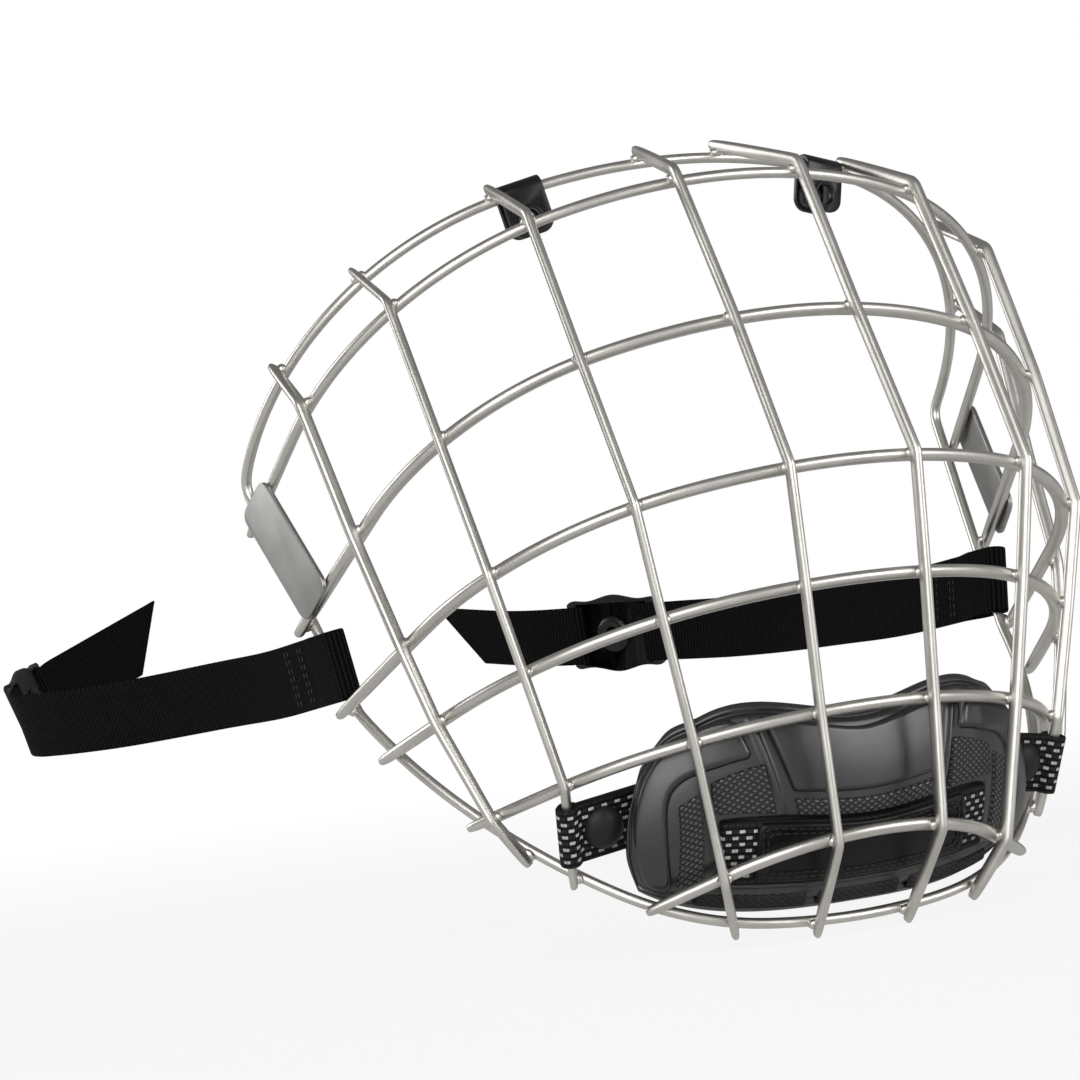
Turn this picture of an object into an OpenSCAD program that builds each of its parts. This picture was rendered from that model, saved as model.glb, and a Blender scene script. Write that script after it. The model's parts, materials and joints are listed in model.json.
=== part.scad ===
// Wire cage face mask for a player's ice hockey helmet, with chin cup and side straps.
// Millimetres, +Z up, front of the mask towards -Y, X = 0 is the mirror plane.
// The origin is midway between the two helmet clip screw holes, where the mask is hung.

/* [Wire] */
// Round frame wire and brow wire diameter
frame_d = 3.0; // [2.8:0.1:3.2]
// Cross wire, flat way up and down
cross_thick = 2.9; // [2.7:0.1:3.1]
// Cross wire, front to back
cross_deep = 3.9; // [3.6:0.1:4.1]
// Upright bar, side to side
bar_thin = 2.3; // [2.1:0.1:2.6]
// Upright bar, front to back
bar_deep = 3.7; // [3.5:0.1:4.0]
// How far each cross wire end runs past the frame wire it is welded on
overhang = 3.2; // [2.4:0.2:4.0]
// How far each upright bar runs past the frame wire at its top and foot
bar_past = 1.6; // [1.0:0.2:3.0]
// Inside of each bend in an upright bar, measured at its middle
bar_bend_r = 5; // [4:0.5:7]

/* [Helmet clips] */
// Clip width along the frame wire
clip_w = 13; // [11:0.5:13]
// Clip sheet thickness with its black coating
clip_t = 1.4; // [1.2:0.1:1.6]
// Screw hole in each clip
clip_hole_d = 5.8; // [5:0.2:6.4]
// From the frame wire down to the screw hole
clip_drop = 8.1; // [7.5:0.2:10]

/* [Ear plates] */
// Plate width across the frame wire
plate_w = 16; // [13:0.5:17]
// Plate length along the frame wire
plate_l = 41; // [38:0.5:44]
// Plate thickness
plate_t = 1.5; // [1.2:0.1:2.0]

/* [Side straps] */
// Webbing width
web_w = 20; // [18:0.5:21]
// Webbing thickness
web_t = 1.3; // [1.1:0.1:1.5]
// Single webbing between the sewn loop and the buckle
strap_run = 155; // [120:5:190]
// Free tail past the left buckle, the right one keeps a shorter tail
tail_l = 52; // [44:2:70]

/* [Buckles] */
// Middle plate between the two slots
buckle_mid = 16; // [15:0.5:20]
// End bar beside each slot
buckle_bar = 4; // [3.5:0.5:6]
// Buckle plate thickness
buckle_t = 2.4; // [2.0:0.2:3.0]
// Snap socket outer diameter
snap_d = 12.5; // [11:0.5:14]

/* [Chin cup] */
// Half width of the cup in plan before its ends are cut off
cup_half_w = 68; // [62:1:70]
// How far the cup wraps back
cup_wrap = 36; // [32:1:40]
// Moulded shell thickness
shell_t = 4; // [3:0.5:5]
// Soft lining thickness
liner_t = 7; // [5:0.5:9]
// Chin webbing width
chin_web_w = 17; // [15:0.5:18]

/* [Hidden] */
gap = 0.06;
wire_clear = 0.3;
$fn = 32;
facets = 10;

// Each cross wire lies in one tilted plane: front Y, front Z, tilt down to the rear,
// tangent arcs as [radius, heading at the end of the arc], depth and thickness.
// The heading that ends the last arc is worked out, so that the side run meets the frame.
brow = [45.4, 95.3, 42, [[152, 21], [95, 85]], frame_d, frame_d];
cross_1 = [24.3, 54.6, 37, [[154, 22], [81, 77]], cross_deep, cross_thick];
cross_2 = [2.5, 12.0, 27.5, [[147, 20], [82, 74]], cross_deep, cross_thick];
cross_3 = [3.3, -20.2, 22, [[135, 15], [91, 71]], cross_deep, cross_thick];
cross_4 = [4.7, -54.7, 19, [[102, 34.5], [75, 56]], cross_deep, cross_thick];
cross_5 = [5.8, -88.7, 28, [[65, 51]], cross_deep, cross_thick];
// The frame wire is a closed loop: a top bow, a straight run behind each ear plate and a jaw bow.
top_bow = [77.3, 103.6, 50, [[173, 19.5], [89, 62], [91, 95]], frame_d, frame_d];
jaw_bow = [25.2, -113, -42, [[166, 10], [66, 46], [161, 80]], frame_d, frame_d];
ear_bend_r = 7;
jaw_bend_r = 12;

// Where each upright crosses each wire, measured along that wire from the middle, top to bottom.
bar_inner = [12.8, 19.5, 18.9, 19.5, 18.6, 17.5, 15.9, 14.5];
bar_second = [58.3, 62.8, 63.2, 62.6, 57.8, 52.0, 47.4, 38.4];
bar_third = [101.8, 106.8, 106.2, 105.4, 97.5, cup_half_w + 20.5, undef, cup_half_w + 15];
bar_outer = [137.0, 145.8, 146.2, 143.2, 129.6, 113.2, undef, 98.0];

clip_at = 50;
strap_z = -28.7;
tab_along = 0.5;

function unit(v) = v / norm(v);
function spin(v, k, a) = v * cos(a) + cross(k, v) * sin(a) + k * (k * v) * (1 - cos(a));
function mirrored(p) = [-p[0], p[1], p[2]];

// Point and heading at a distance along tangent arcs that start at the origin heading along X.
function past_arc(p, r, a, b) = p + r * [sin(b) - sin(a), cos(a) - cos(b)];
function arc_length(r, a, b) = r * (b - a) * PI / 180;
function on_arcs(arcs, s, i = 0, p = [0, 0], a = 0) =
    i == len(arcs) ? [p[0] + s * cos(a), p[1] + s * sin(a), a] :
    let (r = arcs[i][0], b = arcs[i][1], l = arc_length(r, a, b))
    s > l ? on_arcs(arcs, s - l, i + 1, past_arc(p, r, a, b), b) :
    let (m = a + s / r * 180 / PI, q = past_arc(p, r, a, m)) [q[0], q[1], m];
function arcs_length(arcs, i = 0, a = 0) =
    i == len(arcs) ? 0 : arc_length(arcs[i][0], a, arcs[i][1]) + arcs_length(arcs, i + 1, arcs[i][1]);
function arcs_end(arcs) = on_arcs(arcs, arcs_length(arcs));

function lift(w, q) = [q[0], w[0] + q[1] * cos(w[2]), w[1] - q[1] * sin(w[2])];
function heading(w, a) = [cos(a), sin(a) * cos(w[2]), -sin(a) * sin(w[2])];
function wire_at(w, s) = lift(w, on_arcs(w[3], s));
function wire_dir(w, s) = heading(w, on_arcs(w[3], s)[2]);
function plane_normal(w) = [0, sin(w[2]), cos(w[2])];
function above(w, p) = (p - [0, w[0], w[1]]) * plane_normal(w);
function in_plane(w, p) = [p[0], (p[1] - w[0]) / cos(w[2])];

ear_corner = lift(top_bow, arcs_end(top_bow[3]));
jaw_corner = lift(jaw_bow, arcs_end(jaw_bow[3]));
side_run = unit(jaw_corner - ear_corner);
jaw_length = arcs_length(jaw_bow[3]);

// Point and direction where the frame wire passes through the plane of a cross wire.
function jaw_hit(w, lo, hi, n = 30) =
    let (m = (lo + hi) / 2)
    n == 0 ? m :
    above(w, wire_at(jaw_bow, lo)) * above(w, wire_at(jaw_bow, m)) <= 0
        ? jaw_hit(w, lo, m, n - 1) : jaw_hit(w, m, hi, n - 1);
function frame_hit(w) =
    above(w, jaw_corner) < 0
    ? let (u = above(w, ear_corner) / (above(w, ear_corner) - above(w, jaw_corner)))
        [ear_corner + u * (jaw_corner - ear_corner), side_run]
    : let (s = jaw_hit(w, 0, jaw_length)) [wire_at(jaw_bow, s), wire_dir(jaw_bow, s)];

// Ends the last arc where its tangent passes outside the frame wire at the welding distance.
function settled(w) =
    let (
        hit = frame_hit(w),
        n = len(w[3]) - 1,
        first = [for (i = [0:1:n - 1]) w[3][i]],
        start = arcs_end(first),
        r = w[3][n][0],
        c = [start[0], start[1]] + r * [-sin(start[2]), cos(start[2])],
        q = in_plane(w, hit[0]),
        d = q - c,
        stack = (frame_d + w[4]) / 2 + gap,
        base = atan2(d[1], d[0]),
        b0 = base + asin((r - stack) / norm(d)),
        out = stack * norm(cross(hit[1], heading(w, b0))) / abs(hit[1] * plane_normal(w)),
        b = base + asin((r - out) / norm(d)),
        touch = c + r * [sin(b), -cos(b)],
        run = (q - touch) * [cos(b), sin(b)]
    )
    [w[0], w[1], w[2], concat(first, [[r, b]]), w[4], w[5], run, hit];

brow_s = settled(brow);
cross_1s = settled(cross_1);
cross_2s = settled(cross_2);
cross_3s = settled(cross_3);
cross_4s = settled(cross_4);
cross_5s = settled(cross_5);
ladder = [top_bow, brow_s, cross_1s, cross_2s, cross_3s, cross_4s, cross_5s, jaw_bow];

// Where the brow wire and the first cross wire cross the straight run of the frame wire.
brow_hit = brow_s[7][0];
cross_1_hit = cross_1s[7][0];

function quads(n, m, closed) =
    [for (i = [0:1:n - (closed ? 1 : 2)], j = [0:1:m - 1], k = [0, 1])
        let (a = i * m + j, b = i * m + (j + 1) % m,
             c = ((i + 1) % n) * m + (j + 1) % m, d = ((i + 1) % n) * m + j)
        k == 0 ? [a, b, c] : [a, c, d]];
function caps(n, m) =
    concat([[for (j = [m - 1:-1:0]) j]], [[for (j = [0:1:m - 1]) (n - 1) * m + j]]);

// Rings are lists of points, all turning the same way round the line.
module skin(rings, closed = false) {
    n = len(rings);
    m = len(rings[0]);
    polyhedron(points = [for (r = rings, p = r) p],
        faces = closed ? quads(n, m, true) : concat(quads(n, m, false), caps(n, m)),
        convexity = 8);
}

function bezier(a, b, c, u) = a * (1 - u) * (1 - u) + b * 2 * u * (1 - u) + c * u * u;
function corner(a, b, c, r, n) =
    let (u = unit(b - a), v = unit(c - b), turn = acos(min(1, u * v)), l = r * tan(turn / 2))
    [for (i = [0:1:n]) bezier(b - u * l, b, b + v * l, i / n)];

function bow_points(w, step, from) =
    let (l = arcs_length(w[3]), n = round((l - from) / step))
    [for (i = [0:1:n - 1]) wire_at(w, from + (l - from) * i / n)];

frame_step = 8.4;
wire_step = 8.4;
end_round = 0.8;
frame_half =
    let (
        top = bow_points(top_bow, frame_step, 0),
        jaw = bow_points(jaw_bow, frame_step, 0),
        last_top = top[len(top) - 1],
        last_jaw = jaw[len(jaw) - 1],
        ear = corner(last_top, ear_corner, jaw_corner, ear_bend_r, 5),
        chin = corner(ear_corner, jaw_corner, last_jaw, jaw_bend_r, 2)
    )
    concat(top, ear, chin, [for (i = [len(jaw) - 1:-1:0]) jaw[i]]);
frame_loop = concat(frame_half, [for (i = [len(frame_half) - 2:-1:1]) mirrored(frame_half[i])]);

function ring(p, t, up, d) =
    let (a = unit(cross(t, up)), b = cross(a, t))
    [for (k = [0:1:facets - 1]) p + (d / 2) * (a * cos(k * 360 / facets) + b * sin(k * 360 / facets))];

// Upright bars.
head = [0, 100, 0];
function bar_rows(stations) = [for (i = [0:1:7]) if (stations[i] != undef) i];
function bar_base(stations) =
    [for (i = bar_rows(stations)) wire_at(ladder[i], stations[i])];
function bar_out(stations) =
    let (rows = bar_rows(stations), base = bar_base(stations), n = len(base))
    [for (i = [0:1:n - 1])
        let (
            run = unit(base[min(i + 1, n - 1)] - base[max(i - 1, 0)]),
            before = i == 0 ? run : unit(base[i] - base[i - 1]),
            after = i == n - 1 ? run : unit(base[i + 1] - base[i]),
            lean = unit((i == 0 ? after : before) + (i == n - 1 ? before : after)),
            v = unit(cross(wire_dir(ladder[rows[i]], stations[rows[i]]), lean))
        )
        v * (base[i] - head) < 0 ? -v : v];
function bend_at(pts, i) =
    i == 0 || i == len(pts) - 1 ? 0 :
    acos(min(1, unit(pts[i] - pts[i - 1]) * unit(pts[i + 1] - pts[i])));
function bar_corners(stations) =
    let (
        rows = bar_rows(stations),
        base = bar_base(stations),
        out = bar_out(stations),
        first = [for (i = [0:1:len(base) - 1])
            base[i] + out[i] * ((ladder[rows[i]][4] + bar_deep) / 2 + gap)]
    )
    [for (i = [0:1:len(base) - 1])
        let (
            turn = bend_at(first, i),
            cut = bar_bend_r * tan(turn / 2) * sin(turn / 2) / 2,
            deep = bar_deep / 2 / cos(turn / 2)
        )
        base[i] + out[i] * (ladder[rows[i]][4] / 2 + deep + cut + gap)];
function bar_line(stations) =
    let (
        c = bar_corners(stations),
        out = bar_out(stations),
        n = len(c),
        head_end = c[0] + unit(c[0] - c[1]) * bar_past,
        foot_end = c[n - 1] + unit(c[n - 1] - c[n - 2]) * bar_past
    )
    concat(
        [[head_end, out[0], unit(c[1] - c[0])]],
        [for (i = [1:1:n - 2])
            let (
                u = unit(c[i] - c[i - 1]),
                v = unit(c[i + 1] - c[i]),
                turn = bend_at(c, i),
                l = bar_bend_r * tan(turn / 2),
                m = max(1, ceil(turn / 14))
            )
            each [for (k = [0:1:m])
                [bezier(c[i] - u * l, c[i], c[i] + v * l, k / m), out[i],
                 unit(u * (m - k) + v * k)]]],
        [[foot_end, out[n - 1], unit(c[n - 1] - c[n - 2])]]
    );
function bar_ring(s, thin, deep) =
    let (
        t = s[2],
        side = unit(cross(t, s[1])),
        out = cross(side, t),
        r = thin / 2,
        flat = deep / 2 - r
    )
    concat(
        [for (a = [0:45:180]) s[0] + side * r * cos(a) + out * (flat + r * sin(a))],
        [for (a = [180:45:360]) s[0] + side * r * cos(a) + out * (r * sin(a) - flat)]);
function end_ring(s, back, share, thin, deep) =
    bar_ring([s[0] + s[2] * back, s[1], s[2]], thin * share, deep * share);

// A swept length with both ends rounded over.
module rounded_run(line, thin, deep) {
    n = len(line);
    skin(concat(
        [end_ring(line[0], -end_round, 0.55, thin, deep)],
        [for (s = line) bar_ring(s, thin, deep)],
        [end_ring(line[n - 1], end_round, 0.55, thin, deep)]));
}

module upright(stations) {
    rounded_run(bar_line(stations), bar_thin, bar_deep);
}

// Cross wires and the brow wire: stations from one end round to the other.
function wire_half(w) =
    let (
        l = arcs_length(w[3]),
        n = round(l / wire_step),
        tail = l + w[6] + overhang
    )
    concat(
        [for (i = [0:1:n])
            let (s = l * i / n, a = on_arcs(w[3], s)[2])
            [wire_at(w, s), heading(w, a - 90), heading(w, a)]],
        [[wire_at(w, tail), heading(w, arcs_end(w[3])[2] - 90), wire_dir(w, tail)]]);
function flipped(s) = [mirrored(s[0]), mirrored(s[1]), -mirrored(s[2])];

module bent_wire(w) {
    half = wire_half(w);
    n = len(half);
    rounded_run(concat([for (i = [n - 1:-1:1]) flipped(half[i])], half), w[5], w[4]);
}

module frame_wire() {
    n = len(frame_loop);
    color([0.72, 0.71, 0.68]) hung()
    skin([for (i = [0:1:n - 1])
        ring(frame_loop[i], unit(frame_loop[(i + 1) % n] - frame_loop[(i + n - 1) % n]),
            unit(frame_loop[i] - [0, 90, 0]), frame_d)], true);
}

module brow_wire() { color([0.72, 0.71, 0.68]) hung() bent_wire(brow_s); }
module cross_wire_1() { color([0.70, 0.69, 0.66]) hung() bent_wire(cross_1s); }
module cross_wire_2() { color([0.70, 0.69, 0.66]) hung() bent_wire(cross_2s); }
module cross_wire_3() { color([0.70, 0.69, 0.66]) hung() bent_wire(cross_3s); }
module cross_wire_4() { color([0.70, 0.69, 0.66]) hung() bent_wire(cross_4s); }
module cross_wire_5() { color([0.70, 0.69, 0.66]) hung() bent_wire(cross_5s); }

module bar_inner_left() { color([0.75, 0.74, 0.71]) hung() upright(bar_inner); }
module bar_second_left() { color([0.75, 0.74, 0.71]) hung() upright(bar_second); }
module bar_third_left() { color([0.75, 0.74, 0.71]) hung() upright(bar_third); }
module bar_outer_left() { color([0.75, 0.74, 0.71]) hung() upright(bar_outer); }
module bar_inner_right() { mirror([1, 0, 0]) bar_inner_left(); }
module bar_second_right() { mirror([1, 0, 0]) bar_second_left(); }
module bar_third_right() { mirror([1, 0, 0]) bar_third_left(); }
module bar_outer_right() { mirror([1, 0, 0]) bar_outer_left(); }

// Helmet clips
// Puts a local x, y, z on an origin.
module place(o, x, y, z) {
    multmatrix([[x[0], y[0], z[0], o[0]], [x[1], y[1], z[1], o[1]], [x[2], y[2], z[2], o[2]]])
        children();
}

clip_origin = wire_at(top_bow, clip_at);
clip_axis = wire_dir(top_bow, clip_at);
clip_down = unit([0, 0, -1] + clip_axis * clip_axis[2]);
clip_in_r = frame_d / 2 + wire_clear;
clip_out_r = clip_in_r + clip_t;
clip_fore = cross(clip_down, clip_axis);
clip_hole = clip_origin + clip_down * clip_drop + clip_fore * (clip_in_r + clip_t / 2);
clip_end = clip_drop + clip_hole_d / 2 + 2;
clip_corner_r = 4;

// Midway between the two clip screw holes, the point the whole mask is measured from.
hole_mid = clip_hole - [clip_hole[0], 0, 0];
module hung() { translate(-hole_mid) children(); }

module clip_side_view() {
    difference() {
        union() {
            circle(r = clip_out_r);
            translate([-clip_out_r, -clip_end]) square([2 * clip_out_r, clip_end]);
        }
        circle(r = clip_in_r);
        translate([-clip_in_r, -clip_end - 1]) square([2 * clip_in_r, clip_end + 1]);
    }
}

module clip_front_view() {
    half = clip_w / 2;
    translate([-half, -clip_end + clip_corner_r])
        square([clip_w, clip_end - clip_corner_r + clip_out_r + 1]);
    translate([-half + clip_corner_r, -clip_end])
        square([clip_w - 2 * clip_corner_r, clip_end]);
    for (x = [-half + clip_corner_r, half - clip_corner_r])
        translate([x, -clip_end + clip_corner_r]) circle(r = clip_corner_r);
}

// Local x forwards, y up, z along the frame wire.
module helmet_clip() {
    place(clip_origin, cross(clip_down, clip_axis), -clip_down, -clip_axis)
        difference() {
            intersection() {
                linear_extrude(clip_w, center = true) clip_side_view();
                rotate([0, -90, 0]) linear_extrude(4 * clip_out_r, center = true) clip_front_view();
            }
            translate([0, -clip_drop, 0]) rotate([0, 90, 0])
                cylinder(d = clip_hole_d, h = 3 * clip_out_r, center = true, $fn = 48);
        }
}

module helmet_clip_left() { color([0.06, 0.06, 0.07]) hung() helmet_clip(); }
module helmet_clip_right() { color([0.06, 0.06, 0.07]) hung() mirror([1, 0, 0]) helmet_clip(); }

// Ear plates, seated on the brow wire and the first cross wire just ahead of the frame wire
plate_ahead = 11;
function seat_station(w) = arcs_length(w[3]) + w[6] - plate_ahead;
function seat_point(w) = wire_at(w, seat_station(w));
function seat_dir(w) = wire_dir(w, seat_station(w));
plate_run = unit(seat_dir(brow_s) + seat_dir(cross_1s));
plate_out0 = unit(cross(plate_run, -side_run));
plate_top_seat = seat_point(brow_s) + plate_out0 * (brow[4] / 2 + 3 * gap);
plate_low_seat = seat_point(cross_1s) + plate_out0 * (cross_1[4] / 2 + 3 * gap);
plate_up = unit(plate_top_seat - plate_low_seat);
plate_out = unit(cross(plate_run, plate_up));
plate_x = cross(plate_up, plate_out);
plate_lean = 5.5;
plate_corner_r = 4;

function rounded_corners(pts, r, n) =
    let (m = len(pts))
    [for (i = [0:1:m - 1]) each corner(pts[(i + m - 1) % m], pts[i], pts[(i + 1) % m], r, n)];

// Local x forwards, y up from one wire to the other, z outwards. The ends follow the wires.
module ear_plate() {
    end_dir = unit([plate_run * plate_x, plate_run * plate_up]) * plate_w / 2;
    side_dir = [sin(plate_lean), cos(plate_lean)] * plate_l / 2;
    place((plate_top_seat + plate_low_seat) / 2, -plate_x, plate_up, plate_out)
        mirror([1, 0]) linear_extrude(plate_t)
            polygon(rounded_corners([end_dir + side_dir, end_dir - side_dir,
                -end_dir - side_dir, -end_dir + side_dir], plate_corner_r, 4));
}
module ear_plate_left() { color([0.62, 0.62, 0.61]) hung() ear_plate(); }
module ear_plate_right() { color([0.62, 0.62, 0.61]) hung() mirror([1, 0, 0]) ear_plate(); }

// Webbing laid step by step: each step is length, turn, tilt of the fold and sag across its width
function small_steps(steps) =
    [for (s = steps) let (n = max(1, ceil(abs(s[1]) / 18)))
        each [for (k = [1:1:n]) [s[0] / n, s[1] / n, s[2], s[3] / n]]];
function next_frame(f, s) =
    let (
        edge = cross(f[2], f[1]),
        t0 = spin(f[1], edge, s[3] / 2),
        t = spin(f[1], edge, s[3]),
        w = spin(f[2], edge, s[3]),
        axis = w * cos(s[2]) + t * sin(s[2])
    )
    [f[0] + spin(t0, axis, s[1] / 2) * s[0], spin(t, axis, s[1]), spin(w, axis, s[1])];
function walk(start, steps) =
    let (s = small_steps(steps), n = len(s))
    [for (i = 0, f = start; i <= n; f = next_frame(f, i < n ? s[i] : [0, 0, 0, 0]), i = i + 1) f];
function band_ring(f, width, thick, skew = 0) =
    let (n = cross(f[2], f[1]), a = f[2] * width / 2, b = n * thick / 2, c = f[1] * skew)
    [f[0] + a - b + c, f[0] + a + b + c, f[0] - a + b - c, f[0] - a - b - c];

// A strap in its own view from above: x to the rear, y outwards, z along the webbing width.
strap_u = (strap_z - ear_corner[2]) / (jaw_corner[2] - ear_corner[2]);
strap_origin = ear_corner + strap_u * (jaw_corner - ear_corner);
strap_droop = 5.5;
strap_up = unit([-side_run[0] / side_run[2], 0, 1]);
strap_x = [0, 1, 0] * cos(strap_droop) - strap_up * sin(strap_droop);
strap_w = strap_up * cos(strap_droop) + [0, 1, 0] * sin(strap_droop);
wire_slant = (mirrored(side_run) * strap_x) / (mirrored(side_run) * strap_w);
loop_slack = 0.5;
loop_half_gap = frame_d / 2 + loop_slack + web_t / 2;
loop_reach = wire_slant * web_w / 2;
layer_gap = 0.12;
pinch = loop_half_gap - (web_t + layer_gap) / 2;
pinch_turn = 14;
pinch_arc = 2;
pinch_run = (pinch - 2 * pinch_arc * sin(pinch_turn / 2)) / sin(pinch_turn);
sewn_l = 16;
loop_back = loop_reach + 1;
loop_steps = [
    [sewn_l, 0, 0, 0],
    [pinch_arc, pinch_turn, 0, 0],
    [pinch_run, 0, 0, 0],
    [pinch_arc, -pinch_turn, 0, 0],
    [loop_back + loop_reach, 0, 0, 0],
    [PI * loop_half_gap, -180, 0, 0],
    [loop_back + loop_reach, 0, 0, 0],
    [pinch_arc, -pinch_turn, 0, 0],
    [pinch_run, 0, 0, 0],
    [pinch_arc, pinch_turn, 0, 0],
    [sewn_l, 0, 0, 0]
];
pinch_x = 2 * pinch_arc * cos(pinch_turn / 2) + pinch_run * cos(pinch_turn);
loop_start = [[loop_back + pinch_x + sewn_l, -(web_t + layer_gap) / 2, 0], [-1, 0, 0], [0, 0, 1]];

// The webbing lies inside each end bar of the buckle and outside its middle plate.
thread_gap = 0.25;
thread_off = buckle_t / 2 + thread_gap + web_t / 2;
thread_turn = 45;
thread_r = 1.9;
thread_arc = thread_r * thread_turn * PI / 180;
thread_slope = (2 * thread_off - 2 * thread_r * (1 - cos(thread_turn))) / sin(thread_turn);
thread_x = 2 * thread_r * sin(thread_turn) + thread_slope * cos(thread_turn);
slot_w = buckle_t / tan(thread_turn) + web_t / sin(thread_turn) + 1.2;
buckle_l = buckle_mid + 2 * slot_w + 2 * buckle_bar;
bar_pass = (buckle_mid + slot_w) / 2 - thread_x / 2;
thread_steps = [
    [thread_arc, thread_turn, 0, 0],
    [thread_slope, 0, 0, 0],
    [thread_arc, -thread_turn, 0, 0],
    [buckle_mid + slot_w - thread_x, 0, 0, 0],
    [thread_arc, -thread_turn, 0, 0],
    [thread_slope, 0, 0, 0],
    [thread_arc, thread_turn, 0, 0]
];
end_pass = buckle_l / 2 - (buckle_mid + slot_w) / 2 - thread_x / 2 + 1.5;

// Photographed lie of each strap: the right one bows outwards and curls in at its end,
// the left one bends in behind the cage with its tail running on.
right_share = strap_run / 6;
right_lie = [
    [right_share, 6.7, 1, -3.6], [right_share, 11.3, -7, -0.2], [right_share, 7, -9, -1.2],
    [right_share, -3, 6.5, -1.8], [right_share, -12.6, -4.5, 0.5], [right_share, -48.7, 13.4, 0.7]
];
left_share = strap_run / 4;
left_lie = [
    [left_share, -0.8, 1.4, -3.6], [left_share, 3.5, -4, -0.1], [left_share, -11.2, 1, -0.3],
    [left_share, -27.2, -34.4, -2]
];
tail_bend = 8;
right_tail = [[end_pass, 0, 0, 0], [tail_bend, -23.5, -10, 0], [tail_l - 6, 0, 0, 0]];
left_tail = [[end_pass, 0, 0, 0], [tail_l / 2, 20, 20, 0], [tail_l / 2, 0, 0, 0]];

function strap_frames(lie, tail) =
    walk(loop_start, concat(loop_steps, split_lie(lie), [[end_pass, 0, 0, 0]], thread_steps, tail));
function split_lie(lie) =
    [for (s = lie) each [for (k = [1:1:4]) [s[0] / 4, s[1] / 4, s[2], s[3] / 4]]];
function buckle_frame(lie) =
    let (f = walk(loop_start, concat(loop_steps, split_lie(lie), [[end_pass, 0, 0, 0]])))
    f[len(f) - 1];

module strap_web(lie, tail) {
    f = strap_frames(lie, tail);
    n = len(f);
    skin([for (i = [0:1:n - 1]) band_ring(f[i], web_w, web_t, i == n - 1 ? web_w / 2 : 0)]);
}

module strap_place() {
    place(mirrored(strap_origin), strap_x, cross(strap_w, strap_x), strap_w) children();
}

// Local x along the strap, y across it, z towards the head.
module buckle_place(lie) {
    f = buckle_frame(lie);
    out = cross(f[2], f[1]);
    c = f[0] + f[1] * ((buckle_mid + slot_w + thread_x) / 2) + out * thread_off;
    place(c, f[1], -f[2], -out) children();
}

buckle_half_w = web_w / 2 + 2.3;
buckle_wave = 0.9;
function wave(x) = buckle_half_w + buckle_wave * cos(360 * x / (buckle_l * 0.62));
module buckle_outline() {
    n = 28;
    l = buckle_l / 2;
    polygon(concat(
        [for (i = [0:1:n]) let (x = -l + buckle_l * i / n,
            e = 1.8 * pow(abs(x) / l, 14)) [x, -wave(x) + e]],
        [for (i = [n:-1:0]) let (x = -l + buckle_l * i / n,
            e = 1.8 * pow(abs(x) / l, 14)) [x, wave(x) - e]]));
}
module buckle() {
    slot_x = (buckle_mid + slot_w) / 2;
    difference() {
        linear_extrude(buckle_t, center = true) buckle_outline();
        for (x = [-slot_x, slot_x])
            translate([x, 0, 0]) cube([slot_w, web_w + 0.8, buckle_t + 1], center = true);
    }
}
snap_seat = 0.03;
snap_h = 1.6;
snap_bore_d = 5;
module snap_socket() {
    translate([0, 0, buckle_t / 2 + snap_seat]) rotate_extrude($fn = 64)
        polygon([[snap_bore_d / 2, 0], [snap_d / 2, 0], [snap_d / 2, snap_h * 0.5],
            [snap_d / 2 - 0.8, snap_h], [snap_bore_d / 2 + 0.5, snap_h],
            [snap_bore_d / 2, snap_h - 0.5]]);
}

module side_strap_right() {
    color([0.05, 0.05, 0.05]) hung() strap_place() strap_web(right_lie, right_tail);
}
module buckle_right() {
    color([0.09, 0.09, 0.10]) hung() strap_place() buckle_place(right_lie) buckle();
}
module snap_right() {
    color([0.16, 0.16, 0.17]) hung() strap_place() buckle_place(right_lie) snap_socket();
}
module side_strap_left() {
    color([0.05, 0.05, 0.05]) hung() mirror([1, 0, 0]) strap_place() strap_web(left_lie, left_tail);
}
module buckle_left() {
    color([0.09, 0.09, 0.10]) hung() mirror([1, 0, 0]) strap_place() buckle_place(left_lie) buckle();
}
module snap_left() {
    color([0.16, 0.16, 0.17]) hung() mirror([1, 0, 0])
        strap_place() buckle_place(left_lie) snap_socket();
}

// Chin cup: one curved surface that every cup piece is laid on
cup_front = 10.5;
cup_low = -110;
cup_high = -55;
cup_end = 72;
cup_lean = 16;
cup_corner = 0.3;
function cup_top(s) = cup_high + 62 * s * s - 84 * pow(s, 3);
function cup_bottom(s) = cup_low + 12 * pow(s, 3);
function cup_skin(a, h) =
    let (
        s = abs(sin(a)),
        k = 1 - cup_corner * pow(abs(a) / cup_end, 6),
        mid = (cup_top(s) + cup_bottom(s)) / 2,
        half = (cup_top(s) - cup_bottom(s)) / 2
    )
    [
        cup_half_w * sin(a),
        cup_front + cup_wrap * (1 - cos(a)) + cup_lean * pow(1 - h, 3) * (1 - 0.8 * pow(s, 6)) + 2 * pow(h, 4),
        mid + (2 * h - 1) * half * k
    ];
function cup_normal(a, h) =
    unit(cross(cup_skin(a + 0.5, h) - cup_skin(a - 0.5, h),
        cup_skin(a, h + 0.01) - cup_skin(a, h - 0.01)));
function cup_point(a, h, d) = cup_skin(a, h) + cup_normal(a, h) * d;

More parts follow.
